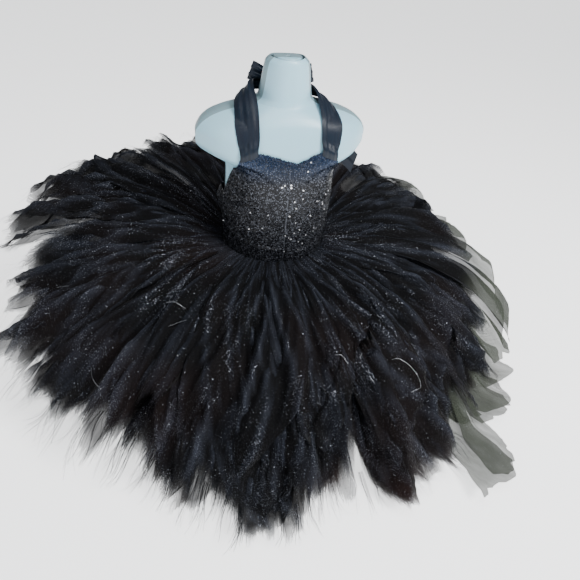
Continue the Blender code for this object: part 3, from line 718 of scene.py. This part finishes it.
def makeBow(b, finish):
    # the knot: a boxy egg of wound ribbon, its radius rippled by the wraps
    knot, half = np.array(b["knot"]), np.array(b["knotHalf"])
    rings, segments = b["knotSteps"]
    turn = np.linspace(0, 2 * np.pi, segments, endpoint=False)[None, :]
    up = np.linspace(-np.pi / 2, np.pi / 2, rings)[:, None]
    ball = np.stack((np.cos(up) * np.cos(turn), np.cos(up) * np.sin(turn), np.sin(up) + 0 * turn), -1)
    boxy = signedPower(ball, b["squareness"])
    size, depth, wraps, slant = b["wraps"]
    ripple = size + depth * np.sin(wraps * ball[..., 2] + slant * np.sin(turn)) * np.cos(up)
    points = knot + boxy * half * ripple[..., None]
    spread = np.stack(np.broadcast_arrays(turn * b["knotMap"], up * b["knotMap"]), -1)
    makePiece("bow_knot_wrap", [(points, gridFaces(rings, segments, True), spread)], finish,
              ("bow_knot",), weld=1e-6)
    rows, columns = b["rows"], b["columns"]
    for name, side, lean, reach in b["loops"]:
        lean = math.radians(lean)
        away = np.array((side * math.cos(lean), 0, math.sin(lean)))
        across = np.array((-away[2] * side, 0, away[0] * side))
        turn = 2 * np.pi * np.linspace(*b["loopTurn"], rows)
        swell = np.sin(turn) * np.sin(turn / 2) ** 0.5
        centre = knot + away * b["start"][0] + np.array((0, b["start"][1], 0))
        centre = centre + away * (reach * (1 - np.cos(turn)) / 2)[:, None]
        centre[:, 1] += b["opening"] * swell
        half = across * (b["loopWidth"] / 2 * (b["pinch"] + (1 - b["pinch"]) * np.sin(turn / 2)))[:, None]
        height, waves, phase, least, more = b["loopPleats"]
        pleats = ribbonPleats(rows, columns, height, waves, phase * side,
                              lambda v: least + more * np.abs(np.cos(np.pi * v)))
        ribbonPiece("bow_loop_" + name + "_ribbon", centre - half, centre + half, 0.0, pleats, finish,
                    ("bow_loop_" + name,))
    for name, side, aside, lean, reach in b["tails"]:
        lean = math.radians(lean)
        along = np.array((side * math.sin(lean), 0, -math.cos(lean)))
        across = np.array((-along[2], 0, along[0]))
        share = np.linspace(0, 1, rows)
        parts, bluntness = b["tailGather"]
        opened = np.minimum(1, share * parts) ** bluntness
        width = b["tailWidth"] * (b["tailPinch"] + (1 - b["tailPinch"]) * opened)
        middle = knot + np.array((side * aside, 0, 0)) + along * b["tailStart"]
        middle = middle + along * (reach * share)[:, None]
        middle[:, 1] += b["tailBelly"] * np.sin(np.pi * share) + b["tailAway"] * share
        half = across * (width / 2)[:, None]
        slant, lateness = b["slant"]
        skew = along * (slant / 2 * share**lateness)[:, None]
        height, waves, phase, least, more = b["tailPleats"]
        pleats = ribbonPleats(rows, columns, height, waves, phase * side,
                              lambda v: least + more * (1 - v) ** 2)
        ribbonPiece("bow_tail_" + name + "_ribbon", middle - half + skew, middle + half - skew, 0.0, pleats,
                    finish, ("bow_tail_" + name,))


def satinFinish():
    # the map is in metres: across the ribbon, then along it. Threads run along, with a woven edge
    f = Finish("satin ribbon", {"Specular IOR Level": 0.32, "Sheen Weight": 0.02, "Sheen Roughness": 0.3,
                                "Anisotropic": 0.4})
    threads = f.noise(f.stretched(f.map, (5200, 160, 1)), 1.0, 2.0)
    streaks = f.noise(f.stretched(f.map, (260, 22, 1)), 1.0, 3.0)
    soft = f.noise(f.spot, 30.0, 2.0)
    colour = f.blend(streaks, (0.0004, 0.0022, 0.006, 1), (0.005, 0.019, 0.038, 1))
    colour = f.blend(soft * 0.5, colour, (0.012, 0.010, 0.018, 1))
    f.feed(Base_Color=colour, Roughness=0.30 + 0.2 * threads,
           Normal=f.relief(threads + streaks, 0.0003, 0.6))
    return f


satin = satinFinish()
makeStraps(strapShape, satin)
makeBow(bowShape, satin)
print("straps and bow made")


# the skirt: three tiers of tulle strips sewn on along the waist
skirtShape = {
    # name, height of the waist seam, length, front and back slope, arch, fold height, lowest, first angle
    "tiers": (
        ("top", 0.246, 0.380, -27, 1, 50, 0.0095, 0.052, 0.0),
        ("middle", 0.237, 0.385, -33, -15, 38, 0.0090, 0.031, 12.9),
        ("lower", 0.228, 0.372, -35.5, -29, 18, 0.0075, 0.011, 5.5),
    ),
    # length, slant, point and extra degrees of each strip, in turn round a tier
    "cuts": {
        "top": (
            (0.98, -0.05, 0.06, 0), (1.06, 0.06, 0.10, -1), (1.12, 0.08, 0.08, -3), (1.04, -0.07, 0.07, -3),
            (1.02, 0.04, 0.12, -5), (0.94, -0.09, 0.06, -3), (0.86, 0.05, 0.07, 0), (0.84, 0.02, 0.09, 1),
            (0.92, -0.06, 0.07, 3), (1.10, 0.08, 0.08, 6), (1.12, -0.04, 0.08, 6), (1.06, 0.07, 0.10, 3),
            (1.03, -0.08, 0.06, 0), (0.97, 0.05, 0.09, -1),
        ),
        "middle": (
            (1.04, 0.06, 0.10, 0), (1.17, -0.05, 0.10, -1), (1.14, 0.06, 0.08, -1), (1.05, -0.06, 0.10, -2),
            (0.97, 0.04, 0.08, -2), (0.94, -0.08, 0.06, 0), (0.90, 0.06, 0.08, 0), (0.90, -0.04, 0.10, 0),
            (0.96, 0.07, 0.08, 2), (1.06, -0.06, 0.08, 3), (1.04, 0.05, 0.06, 2), (1.06, -0.07, 0.10, 0),
            (1.01, 0.04, 0.08, 0), (1.10, 0.05, 0.11, 0),
        ),
        "lower": (
            (1.00, 0.05, 0.08, 0), (1.10, -0.06, 0.06, 0), (1.12, 0.07, 0.06, 0), (1.04, -0.05, 0.06, 0),
            (0.96, 0.06, 0.06, 0), (0.95, -0.04, 0.07, 0), (0.92, 0.05, 0.06, 0), (0.92, -0.06, 0.06, 0),
            (0.97, 0.04, 0.07, 0), (1.02, -0.05, 0.06, 0), (1.02, 0.06, 0.06, 0), (1.03, -0.07, 0.06, 0),
            (0.99, 0.05, 0.06, 0), (1.05, -0.05, 0.08, 0),
        ),
    },
    "hemSpread": 0.92,
    "rootGap": 0.0036,
    "rootShare": 0.985,        # of a strip's share of the waist
    "rootRipple": 0.0005,
    # where across a strip its folds begin, and how far they shift along it and from strip to strip
    "foldStart": 0.25, "foldDrift": 2.2, "foldVariety": 3,
    "foldGrowth": 0.8,         # power by which they grow from the waist to the hem
    "pastEdge": 1.2,           # a wide length follows its neighbour's rise as far as this; the edge is 1
    "levelling": 0.012,
    "offFloor": 0.0012,
    "halfWidth": 0.11,         # of a strip, on its map
    "flare": 0.62,             # area of the cut as a share of its width at the hem times its length
    "pleatHeight": 0.0058,
    "pleats": ((1.6, 0.95), (3.7, 0.50), (8.1, 0.14)),  # waves across half a strip, and their share
    "pleatRoot": 0.0004, "pleatGrowth": 0.75,  # their height at the waist, and the power by which they grow
    "phase": (0, 6.28),        # range of the draw for a wave's phase
    "sway": (1.0, 2.8), "swayRate": (2, 5),
    "crest": 0.8,              # power that sharpens a fold into a ridge
    # height, number, waves across and along, mix of the two directions, and where along a strip they grow
    "crumple": 0.0062, "crumples": 6, "crumpleWaves": ((2, 9), (4, 18)), "crumpleTurn": (0.7, 0.6),
    "crumpleGrows": (0.08, 0.6),
    "ridgeMark": (0.42, 0.42, 0.18),  # its middle, then the folds' and the crumples' share in it
    "skew": 2.2,               # most that a fold runs slantwise along its strip
    "shingle": 0.0040,         # a strip's left edge lies this much above its middle, its right one below
    # each strip is folded over the waist, so it hangs in several lengths: how many of each, their width as
    # a share of the strip's, columns, rows, how far they lie off the middle, shortest and longest, how far
    # they wander sideways, and how their hems are cut
    "lengths": (
        {"count": 1, "width": 1.30, "columns": 49, "rows": 56, "off": 0.0, "low": 0.97, "high": 1.0,
         "wander": 0.0, "hem": "wide"},
        {"count": 2, "width": 0.78, "columns": 27, "rows": 46, "off": -0.0055, "low": 0.92, "high": 1.06,
         "wander": 0.60, "hem": "narrow"},
        {"count": 2, "width": 0.56, "columns": 23, "rows": 46, "off": 0.0085, "low": 0.80, "high": 1.04,
         "wander": 1.50, "hem": "narrow"},
    ),
    # how far a hem's corners fall away and how bluntly, and the number of its notches and points
    "hems": {"wide": (0.14, 4, 6, 3), "narrow": (0.20, 2.2, 2, 1)},
    # reach across the hem, breadths, depths and bluntness of the notches and of the points
    "notch": (0.9, (0.04, 0.13), (0.03, 0.17), 1.3),
    "peak": (0.7, (0.10, 0.28), (0.02, 0.07), 1),
    "hemUneven": 0.008,
    "standProud": 0.030,       # most that the tulle stands out past the solids
    # single wide lengths, thin and open, that hang out further than the rest on the wearer's left: tier,
    # strip, middle, drift, width, length and the degrees by which they lie higher
    "veils": (("middle", 2, 0.75, -0.95, 0.42, 1.30, 4), ("middle", 2, 0.95, -0.70, 0.40, 1.24, 5),
              ("middle", 3, -0.70, -0.30, 0.45, 1.28, 4), ("middle", 3, 0.20, -0.15, 0.60, 1.12, 4),
              ("top", 3, 0.10, -0.05, 0.60, 1.16, 0), ("top", 4, -0.50, 0.00, 0.80, 1.15, 4),
              ("top", 4, 0.15, 0.10, 0.85, 1.24, 6), ("top", 5, -0.50, 0.10, 0.85, 1.06, 5),
              ("top", 6, -0.50, 0.05, 0.70, 1.20, 4)),
    "breath": (0.06, 8, 6),    # how much the lengths swell and narrow, how often, and most that it shifts
    "breathGrows": (0.15, 0.6),  # where along a strip
    "driftPower": 1.5,         # how late along it a length drifts aside
    "rolled": (1.7, 2.5),      # how far the upper lengths' sides roll under, and how near to the edge
    "looseness": (0.7, 1.2),   # least and most share of "off" that a length really lies off
    "layersGrow": (0, 0.35),   # where along a strip the lengths come apart
    "veilFrom": (0.74, 0.98),  # nearer to the waist they are as dark as the rest
    "veilDrop": 0.006,
    "veilEven": (0.7, 0.75),   # how much of the ragged hem and of the folds they lack
    # silver threads that lie on the top tier: strip, then how far across and along it they run
    "threads": (
        (1, ((0.62, 0.50), (0.75, 0.505), (0.86, 0.54))), (2, ((-0.80, 0.53), (-0.70, 0.52))),
        (2, ((-0.10, 0.59), (0.10, 0.60), (0.22, 0.64), (0.26, 0.69), (0.20, 0.74), (0.0, 0.735))),
        (2, ((-0.76, 0.605), (-0.73, 0.635))), (13, ((0.25, 0.42), (0.45, 0.395), (0.70, 0.39))),
        (13, ((0.62, 0.48), (0.80, 0.445), (0.95, 0.43))), (13, ((-0.15, 0.76), (0.30, 0.785))),
        (12, ((0.30, 0.70), (0.42, 0.66))), (3, ((-0.40, 0.62), (-0.20, 0.66))),
    ),
    "threadWidth": 0.0003,
    "threadFacing": (0.1, -0.6, 0.8),
    "threadLift": 0.022,
    "threadMark": 3.0,         # in the ridge attribute, which is 1 at most elsewhere
    "threadSteps": 20,
    # where the whole skirt's hem stands out or in: heading in degrees, share of the length, and breadth
    "lobes": ((11.7, -0.26, 3.2), (39.8, -0.10, 3.5), (-11.0, 0.05, 7.0), (19.5, 0.08, 5.0),
              (-24.0, -0.10, 3.0), (-40.0, -0.16, 3.5), (-53.0, -0.12, 3.0), (-31.0, 0.04, 4.0),
              (-66.0, -0.08, 3.0), (60.0, -0.13, 9.0), (82.0, -0.20, 11.0), (110.0, -0.05, 4.0),
              (-95.0, -0.06, 4.0), (-128.0, -0.05, 4.0)),
    "hemFray": 0.042,          # the net breaks up into threads over this much of its hem
    "sideFray": 2.6,           # and over this many times less at its sides
    # loose threads at a strip's hem, in bunches
    "fray": {
        "bunches": 8, "inBunch": 5, "steps": 8,
        "across": 0.95, "breadth": 0.05,     # where across the strip a bunch may start, and its own breadth
        "before": 0.16,        # they leave the cloth this share of the length before the hem
        "reach": (0.05, 0.17), "least": 0.12,
        "fan": (0.12, 0.10), "fanPower": 1.5,  # how far a bunch leans, and each thread in it
        "curl": (0.02, 6, 9),  # how far they curl, how often, and how much that differs across the strip
        "rise": (-0.006, 0.008),
        "width": 0.0010, "widths": (0.5, 1.4), "taper": 0.75,
        "facing": (0.3, 0.2, 1.0),
    },
}


def stripPoint(tier, cut, centre, u, s, lift):
    # u runs across the strip from -1 to 1 and s along it from 0 at the waist to 1 at the hem. From its
    # root the strip follows an arc whose slope turns evenly, then levels out above the floor. Its folds
    # are waves across it, and lift moves the point off the strip's middle surface
    k = skirtShape
    _, rootZ, length, frontSlope, backSlope, arch, ripple, lowest, _ = tier
    halfAngle = stripStep / 2
    near = np.minimum(1, s)
    heading = centre + halfAngle * u * (1 - (1 - k["hemSpread"]) * near)
    beside = np.where(u > 0, cut[5], cut[4])     # a strip's rise blends into its neighbours' at its edges
    extra = cut[3] + (beside - cut[3]) * 0.5 * np.minimum(k["pastEdge"], np.abs(u)) ** 2
    root = bodicePoint(np.array(rootZ), centre + halfAngle * k["rootShare"] * u, k["rootGap"])
    ahead = (1 + np.cos(heading)) / 2
    middle = np.radians(backSlope + (frontSlope - backSlope) * ahead + extra)
    turn = math.radians(arch)
    start = middle + turn / 2
    slope = start - turn * s
    out = length / turn * (np.sin(start) - np.sin(slope))
    height = rootZ + length / turn * (np.cos(slope) - np.cos(start))
    over = height - lowest
    height = lowest + (over + np.hypot(over, k["levelling"])) / 2
    fold = k["rootRipple"] + (ripple - k["rootRipple"]) * near ** k["foldGrowth"]
    lift = lift + fold * np.sin(math.pi * 2 * (u + k["foldStart"]) + k["foldDrift"] * s
                                + k["foldVariety"] * (centre + halfAngle * u))
    out = out - lift * np.sin(slope)
    height = np.maximum(height + lift * np.cos(slope), k["offFloor"])
    x, y = root[..., 0] + np.sin(heading) * out, root[..., 1] - np.cos(heading) * out
    return np.stack((held(x, cadBox[0][0], cadBox[1][0]), held(y, cadBox[0][1], cadBox[1][1]), height), -1)


def held(value, low, high):
    # past the solids' box the reach tails off, and never gets further than standProud
    over, under = np.maximum(0, value - high), np.maximum(0, low - value)
    most = skirtShape["standProud"]
    return np.clip(value, low, high) + most * (np.exp(-under / most) - np.exp(-over / most))


def raggedEnd(w, width, kind, draw):
    # how far a hem stands out or in along the strip: deep narrow notches, short points between them,
    # corners that fall away, and a fine uneven edge. w runs across the length from -1 to 1
    k = skirtShape
    corner, power, notches, peaks = k["hems"][kind["hem"]]
    end = -corner * np.abs(w) ** power
    narrower = min(1, width + 0.2)   # on a narrow length the notches take up more of the width
    for count, way, spare, shape in ((notches, -1, narrower, k["notch"]), (peaks, 1, 1, k["peak"])):
        reach, breadths, depths, bluntness = shape
        for _ in range(count):
            at, breadth = draw.uniform(-reach, reach), draw.uniform(*breadths) / spare
            depth = way * draw.uniform(*depths)
            end = end + depth * np.clip(1 - np.abs(w - at) / breadth, 0, 1) ** bluntness
    return end + draw.uniform(-k["hemUneven"], k["hemUneven"], w.shape)


def hemLobes(heading):
    # the sum of narrow bells, each round its own heading
    total = 0
    for at, amount, breadth in skirtShape["lobes"]:
        away = np.degrees(heading) - at
        away = (away + 180) % 360 - 180
        total = total + amount * np.exp(-(away / breadth) ** 2)
    return total


def pleatLift(u, s, draw):
    # lengthwise folds: waves across the strip whose crests wander along it, each sharpened into a ridge,
    # plus a crumple that runs both ways. All of it grows from the waist to the hem. The second result
    # is how high on its fold a point lies, from 0 to 1
    k = skirtShape
    total = 0
    for waves, share in k["pleats"]:
        phase, sway, rate = (draw.uniform(*k[key]) for key in ("phase", "sway", "swayRate"))
        slant = draw.uniform(-k["skew"], k["skew"])
        wave = np.sin(math.pi * waves * (u + slant * s) + phase + sway * np.sin(rate * s + phase))
        total = total + share * (1 - 2 * np.abs(wave) ** k["crest"])
    crumple = 0
    one, two = k["crumpleTurn"]
    for _ in range(k["crumples"]):
        a, b, c = (draw.uniform(*reach) for reach in (*k["crumpleWaves"], k["phase"]))
        crumple = crumple + np.sin(a * u + b * s + c) * np.sin(one * b * u - two * a * s + 2 * c) / 2.5
    height = k["pleatRoot"] + k["pleatHeight"] * np.minimum(1, s) ** k["pleatGrowth"]
    lift = height * total + k["crumple"] * crumple * smoothStep(*k["crumpleGrows"], s)
    # the second result also sets the tulle's painted highlight on ridges and painted shade in valleys
    mark, ofFolds, ofCrumples = k["ridgeMark"]
    return lift, np.clip(mark + ofFolds * total + ofCrumples * crumple, 0, 1)


def stripLengths(tier, number, draw):
    # the kind, middle, drift, bend, width, share of the strip's length, degrees higher and veil of each
    # length that the strip hangs in. veil is 1 for the thin open ones and 0 for the rest
    k = skirtShape
    lengths = []
    for kind in k["lengths"]:
        several = kind["count"] > 1
        for n in range(kind["count"]):
            middle = (n + 0.5) / kind["count"] * 2 - 1 + (draw.uniform(-0.2, 0.2) if several else 0)
            drift, bend = draw.uniform(-1, 1, 2) * kind["wander"]
            share = draw.uniform(kind["low"], kind["high"])
            lengths.append((kind, middle, drift, bend, kind["width"], share, 0, 0.0))
    for tierName, strip, middle, drift, width, share, higher in k["veils"]:
        if (tierName, strip) == (tier, number):
            lengths.append((k["lengths"][1], middle, drift, 0.0, width, share, higher, 1.0))
    return lengths


def threadPaths(tier, number, centre, cut):
    # silver threads: narrow ribbons through their points, just above the cloth
    k = skirtShape
    n = k["threadSteps"]
    for strip, marks in k["threads"] if tier[0] == "top" else ():
        if strip == number:
            marks = np.array([(i, *mark) for i, mark in enumerate(marks)])
            at = np.linspace(0, len(marks) - 1, n)
            across, along = readCurve(marks, at, 1), readCurve(marks, at, 2)
            path = stripPoint(tier, cut, centre, across, along, np.full(n, k["threadLift"]))
            beside = np.cross(np.gradient(path, axis=0), k["threadFacing"])
            size = np.maximum(np.linalg.norm(beside, axis=-1, keepdims=True), 1e-9)
            beside *= k["threadWidth"] / 2 / size
            yield np.stack((path - beside, path + beside), 1)


def looseThreads(tier, centre, cut, draw):
    # bunches of narrow ribbons that leave the cloth near its hem and fan out and curl
    f = skirtShape["fray"]
    bunches, each = f["bunches"], f["inBunch"]
    n = bunches * each

    def drawn(least, most):  # one for each thread, as a column
        return draw.uniform(least, most, n)[:, None]

    def bunched(most):  # one for each bunch
        return np.repeat(draw.uniform(-most, most, bunches), each)[:, None]

    at = bunched(f["across"]) + drawn(-f["breadth"], f["breadth"])
    along = np.linspace(0, 1, f["steps"])[None, :]
    reach = drawn(*f["reach"])
    here = cut[0] * (1 + cut[1] * at + cut[2] * (0.5 - np.abs(at) ** 1.5)) - f["before"]
    together, apart = f["fan"]
    fan = bunched(together) + drawn(-apart, apart)
    amount, often, differs = f["curl"]
    curl = fan * along ** f["fanPower"] + amount * np.sin(often * along + differs * at)
    rise = drawn(*f["rise"]) * along
    path = stripPoint(tier, cut, centre, at + curl, here + (f["least"] + reach) * along, rise)
    side = np.cross(np.gradient(path, axis=1), np.array(f["facing"]))
    side /= np.linalg.norm(side, axis=-1, keepdims=True)
    taper = drawn(*f["widths"])[..., None] * (1 - f["taper"] * along)[..., None]
    half = f["width"] * taper / 2 * side
    return np.stack((path - half, path + half), 2), at


def makeStrip(tier, number, centre, cut, draw, finish):
    k = skirtShape
    parts, marks, area, longest = [], {"ridge": [], "hem": [], "veil": []}, 0.0, 0.0

    def add(points, faces, spread, ridge, hem, veil):
        parts.append((points, faces, spread))
        for label, values in (("ridge", ridge), ("hem", hem), ("veil", veil)):
            marks[label].append(np.broadcast_to(values, points.shape[:-1]).ravel())

    for kind, middle, drift, bend, width, share, higher, veil in stripLengths(tier[0], number, draw):
        w = np.linspace(-1, 1, kind["columns"])[None, :]
        t = np.linspace(0, 1, kind["rows"])[:, None]
        amount, often, shift = k["breath"]
        breath = 1 + amount * np.sin(often * t + draw.uniform(0, shift)) * smoothStep(*k["breathGrows"], t)
        u = middle + drift * t ** k["driftPower"] + bend * np.sin(np.pi * t) + width * w * breath
        side = np.clip(u, -1, 1)
        lobes = hemLobes(centre + stripStep / 2 * k["hemSpread"] * u[-1]) * (1 - veil)
        evenHem, evenFolds = k["veilEven"]
        end = cut[0] * share * (1 + cut[1] * side + cut[2] * (0.5 - np.abs(side) ** 1.5) + lobes
                                + raggedEnd(w, width, kind, draw) * (1 - evenHem * veil))
        s = t * end
        lift, ridge = pleatLift(u, s, draw)
        lift = lift * (1 - evenFolds * veil) - k["veilDrop"] * veil
        # the upper lengths roll under at their sides, so they lie on the rest as broad soft folds
        under, nearness = k["rolled"]
        rolled = 1 - under * np.abs(w) ** nearness if kind["off"] > 0 else 1.0
        raised = kind["off"] * draw.uniform(*k["looseness"]) * rolled + k["shingle"] * u
        lift = lift + raised * smoothStep(*k["layersGrow"], s)
        risen = (*cut[:3], *(degrees + higher for degrees in cut[3:]))
        points = stripPoint(tier, risen, centre, u, s, lift)
        spread = np.stack(np.broadcast_arrays(u * k["halfWidth"], s * tier[2]), -1)
        toSide = (1 - np.abs(w)) * width * k["halfWidth"] * k["sideFray"]
        toHem = np.minimum((1 - t) * end * tier[2], toSide + 0.02 * (1 - t)) + veil
        add(points, gridFaces(kind["rows"], kind["columns"]), spread, ridge, toHem,
            veil * smoothStep(*k["veilFrom"], s))
        area += gridArea(points)
        longest = max(longest, float(np.linalg.norm(np.diff(points, axis=0), axis=2).sum(0).max()))

    n = k["threadSteps"]
    for ribbon in threadPaths(tier, number, centre, cut):
        add(ribbon, gridFaces(n, 2), np.zeros((n, 2, 2)), k["threadMark"], 1.0, 0.0)
    ribbons, at = looseThreads(tier, centre, cut, draw)
    n = k["fray"]["steps"]
    faces = (gridFaces(n, 2)[None] + 2 * n * np.arange(len(at))[:, None, None]).reshape(-1, 4)
    spread = np.stack(np.broadcast_arrays(at[..., None] * k["halfWidth"], ribbons[..., 2]), -1)
    add(ribbons, faces, spread, 0.2, 1.0, 0.0)

    name = f"tulle_{tier[0]}_{number:02d}"
    made = makePiece(name + "_strip", parts, finish, (name,))
    for label, values in marks.items():
        made.data.attributes.new(label, "FLOAT", "POINT").data.foreach_set(
            "value", np.concatenate(values).astype(np.float32))
    wide = area / (k["flare"] * longest)
    return wide, longest, area


def tulleFinish():
    # black net with metallic specks: round cells picked at random, more of them in some patches and on the
    # ridges of folds, where their bunching is painted sparkle, and here and there a larger flash. The net
    # is painted lighter on the ridges and darker in the valleys, as painted highlight and shade
    f = Finish("glitter tulle", {"Sheen Weight": 0.02, "Sheen Roughness": 0.35, "Specular IOR Level": 0.14})
    mark = f.node("Attribute", {"attribute_name": "ridge"}, None, "Fac")
    veil = f.node("Attribute", {"attribute_name": "veil"}, None, "Fac")
    thread = mark > 2.0    # between the ridges' most and the mark of the silver threads
    ridge = mark.calc("MINIMUM", 1.0)
    patch = f.ramp(f.noise(f.spot, 11.0, 3.0, 0.6), (0.36, 0.15), (0.64, 1.0))
    # the glitter is real, but its bunching on the ridges of the folds is painted sparkle
    level = red(patch) * (0.10 + 1.0 * ridge) * (1 - 0.6 * veil)
    fine = f.cells(f.spot, 1250.0)
    speck = (red(fine) > 0.80) * (green(fine) < level) * (fine.output("Distance") < 0.45)
    grain = f.cells(f.spot, 620.0)
    glint = (red(grain) > 0.94) * (green(grain) < level) * (grain.output("Distance") < 0.34)
    sparkle = f.cells(f.spot, 360.0)
    flash = (red(sparkle) > 0.9992) * (sparkle.output("Distance") < 0.20)
    # over the last stretch before the hem only threads are left, fewer and fewer of them
    hem = f.node("Attribute", {"attribute_name": "hem"}, None, "Fac")
    whole = f.ramp(hem * (1 / skirtShape["hemFray"]), (0.0, 0.0), (1.0, 1.0))
    waver = f.node("VectorMath", {"operation": "MULTIPLY_ADD"}, {0: f.node(
        "TexNoise", None, {"Vector": f.map, "Scale": 28.0, "Detail": 2.0}, "Color"),
        1: (0.012, 0.0, 0.0), 2: f.map})
    strand = f.noise(f.stretched(waver, (1000, 18, 1)), 1.0, 2.0)
    cloth = strand > 0.66 - 0.56 * red(whole)
    shine = ((speck + glint + flash).calc("MINIMUM", 1.0) * cloth).calc("MAXIMUM", thread)
    folds = f.noise(f.stretched(waver, (330, 14, 1)), 1.0, 3.0, 0.6)
    thick = f.noise(f.stretched(waver, (60, 8, 1)), 1.0, 3.0)
    brown = f.ramp(f.noise(f.spot, 6.0, 1.0), (0.45, 0.0), (0.70, 1.0))
    # painted highlight and shade: the net is lighter on the ridges of its folds and darker in their valleys
    light = f.ramp(folds * ridge, (0.06, 0.0), (0.60, 1.0))
    net = f.blend(red(light), (0.0008, 0.0008, 0.0014, 1), (0.019, 0.023, 0.034, 1))
    # painted sheen: mottled grey patches laid on the ridges of the folds
    hazeSheen = f.ramp(f.noise(f.spot, 17.0, 4.0, 0.65), (0.46, 0.0), (0.64, 1.0))
    net = f.blend(red(hazeSheen) * ridge * 0.40, net, (0.040, 0.045, 0.060, 1))
    low = f.ramp(f.axis(f.spot, "Z"), (0.015, 1.0), (0.085, 0.0))
    net = f.blend(red(brown) * (0.18 + 0.72 * red(low)), net, (0.024, 0.010, 0.007, 1))
    net = f.blend(veil * 0.9, net, (0.050, 0.058, 0.043, 1))
    metal = f.blend(green(fine), (0.08, 0.085, 0.10, 1), (0.46, 0.48, 0.54, 1))
    metal = f.blend(glint, metal, (0.30, 0.32, 0.36, 1))
    metal = f.blend(flash, metal, (0.95, 0.95, 0.97, 1))
    metal = f.blend(thread, metal, (0.26, 0.27, 0.29, 1))
    density = (0.75 + 0.25 * thick) * (0.40 + 0.60 * red(whole)) - 0.07 * veil
    f.feed(Base_Color=f.blend(shine, net, metal), Metallic=shine * 0.9, Roughness=0.80 - 0.45 * shine,
           Alpha=cloth * density + shine, Normal=f.tilted(fine, 0.5))
    return f


tulle = tulleFinish()
stripStep = 2 * math.pi / len(skirtShape["cuts"]["top"])   # angle from one strip to the next
for tierNumber, tier in enumerate(skirtShape["tiers"], 1):
    cuts = skirtShape["cuts"][tier[0]]
    for number, cut in enumerate(cuts, 1):
        cut = (*cut, cuts[number - 2][3], cuts[number % len(cuts)][3])
        centre = math.remainder(math.radians(tier[-1]) + stripStep * (number - 1), 2 * math.pi)
        draw = np.random.default_rng(1000 * tierNumber + number)
        size = makeStrip(tier, number, centre, cut, draw, tulle)
    print(f"{tier[0]} tier made; its last strip is {size[0]:.3f} by {size[1]:.3f} m")


# floor and studio light
studio = {
    "floor": (0.93, 0.94, 0.95, 1),
    "floorPatches": (0.95, 0.955, 0.96, 1),
    "floorGlow": 1.60,      # lifts the floor towards plain white
    "floorHalf": 9.0,
    "floorDrop": 0.0005,    # below the form's base
    "world": (0.92, 0.95, 1.0, 1),
    "worldStrength": 0.20,
    "lightAim": (0, 0, 0.25),
    # name, place, size and power of each soft light
    "lights": (
        ("key", (1.0, -1.2, 1.9), 0.9, 62),
        ("fill", (-1.6, -1.2, 1.2), 1.4, 9),
        ("top", (0.0, -0.3, 2.4), 1.4, 22),
    ),
}


def makeStudio(s):
    floorFinish = Finish("pale floor", {"Roughness": 0.9, "Emission Color": s["floor"],
                                        "Emission Strength": s["floorGlow"]})
    shade = floorFinish.noise(floorFinish.spot, 3.0, 2.0)
    floorFinish.feed(Base_Color=floorFinish.blend(shade, s["floor"], s["floorPatches"]))
    half, z = s["floorHalf"], -s["floorDrop"]
    mesh = bpy.data.meshes.new("floor")
    corners = [(-half, -half, z), (half, -half, z), (half, half, z), (-half, half, z)]
    mesh.from_pydata(corners, [], [(0, 1, 2, 3)])
    mesh.materials.append(floorFinish.material)
    floor = bpy.data.objects.new("floor", mesh)
    bpy.context.scene.collection.objects.link(floor)
    world = bpy.data.worlds.new("studio")
    world.use_nodes = True
    background = world.node_tree.nodes["Background"].inputs
    background["Color"].default_value, background["Strength"].default_value = s["world"], s["worldStrength"]
    bpy.context.scene.world = world
    for name, place, size, power in s["lights"]:
        light = bpy.data.lights.new(name, "AREA")
        light.shape = "DISK"
        light.size = size
        light.energy = power
        made = bpy.data.objects.new(name, light)
        made.location = place
        made.rotation_euler = (Vector(s["lightAim"]) - Vector(place)).to_track_quat("-Z", "Y").to_euler()
        bpy.context.scene.collection.objects.link(made)


makeStudio(studio)
print("studio made")
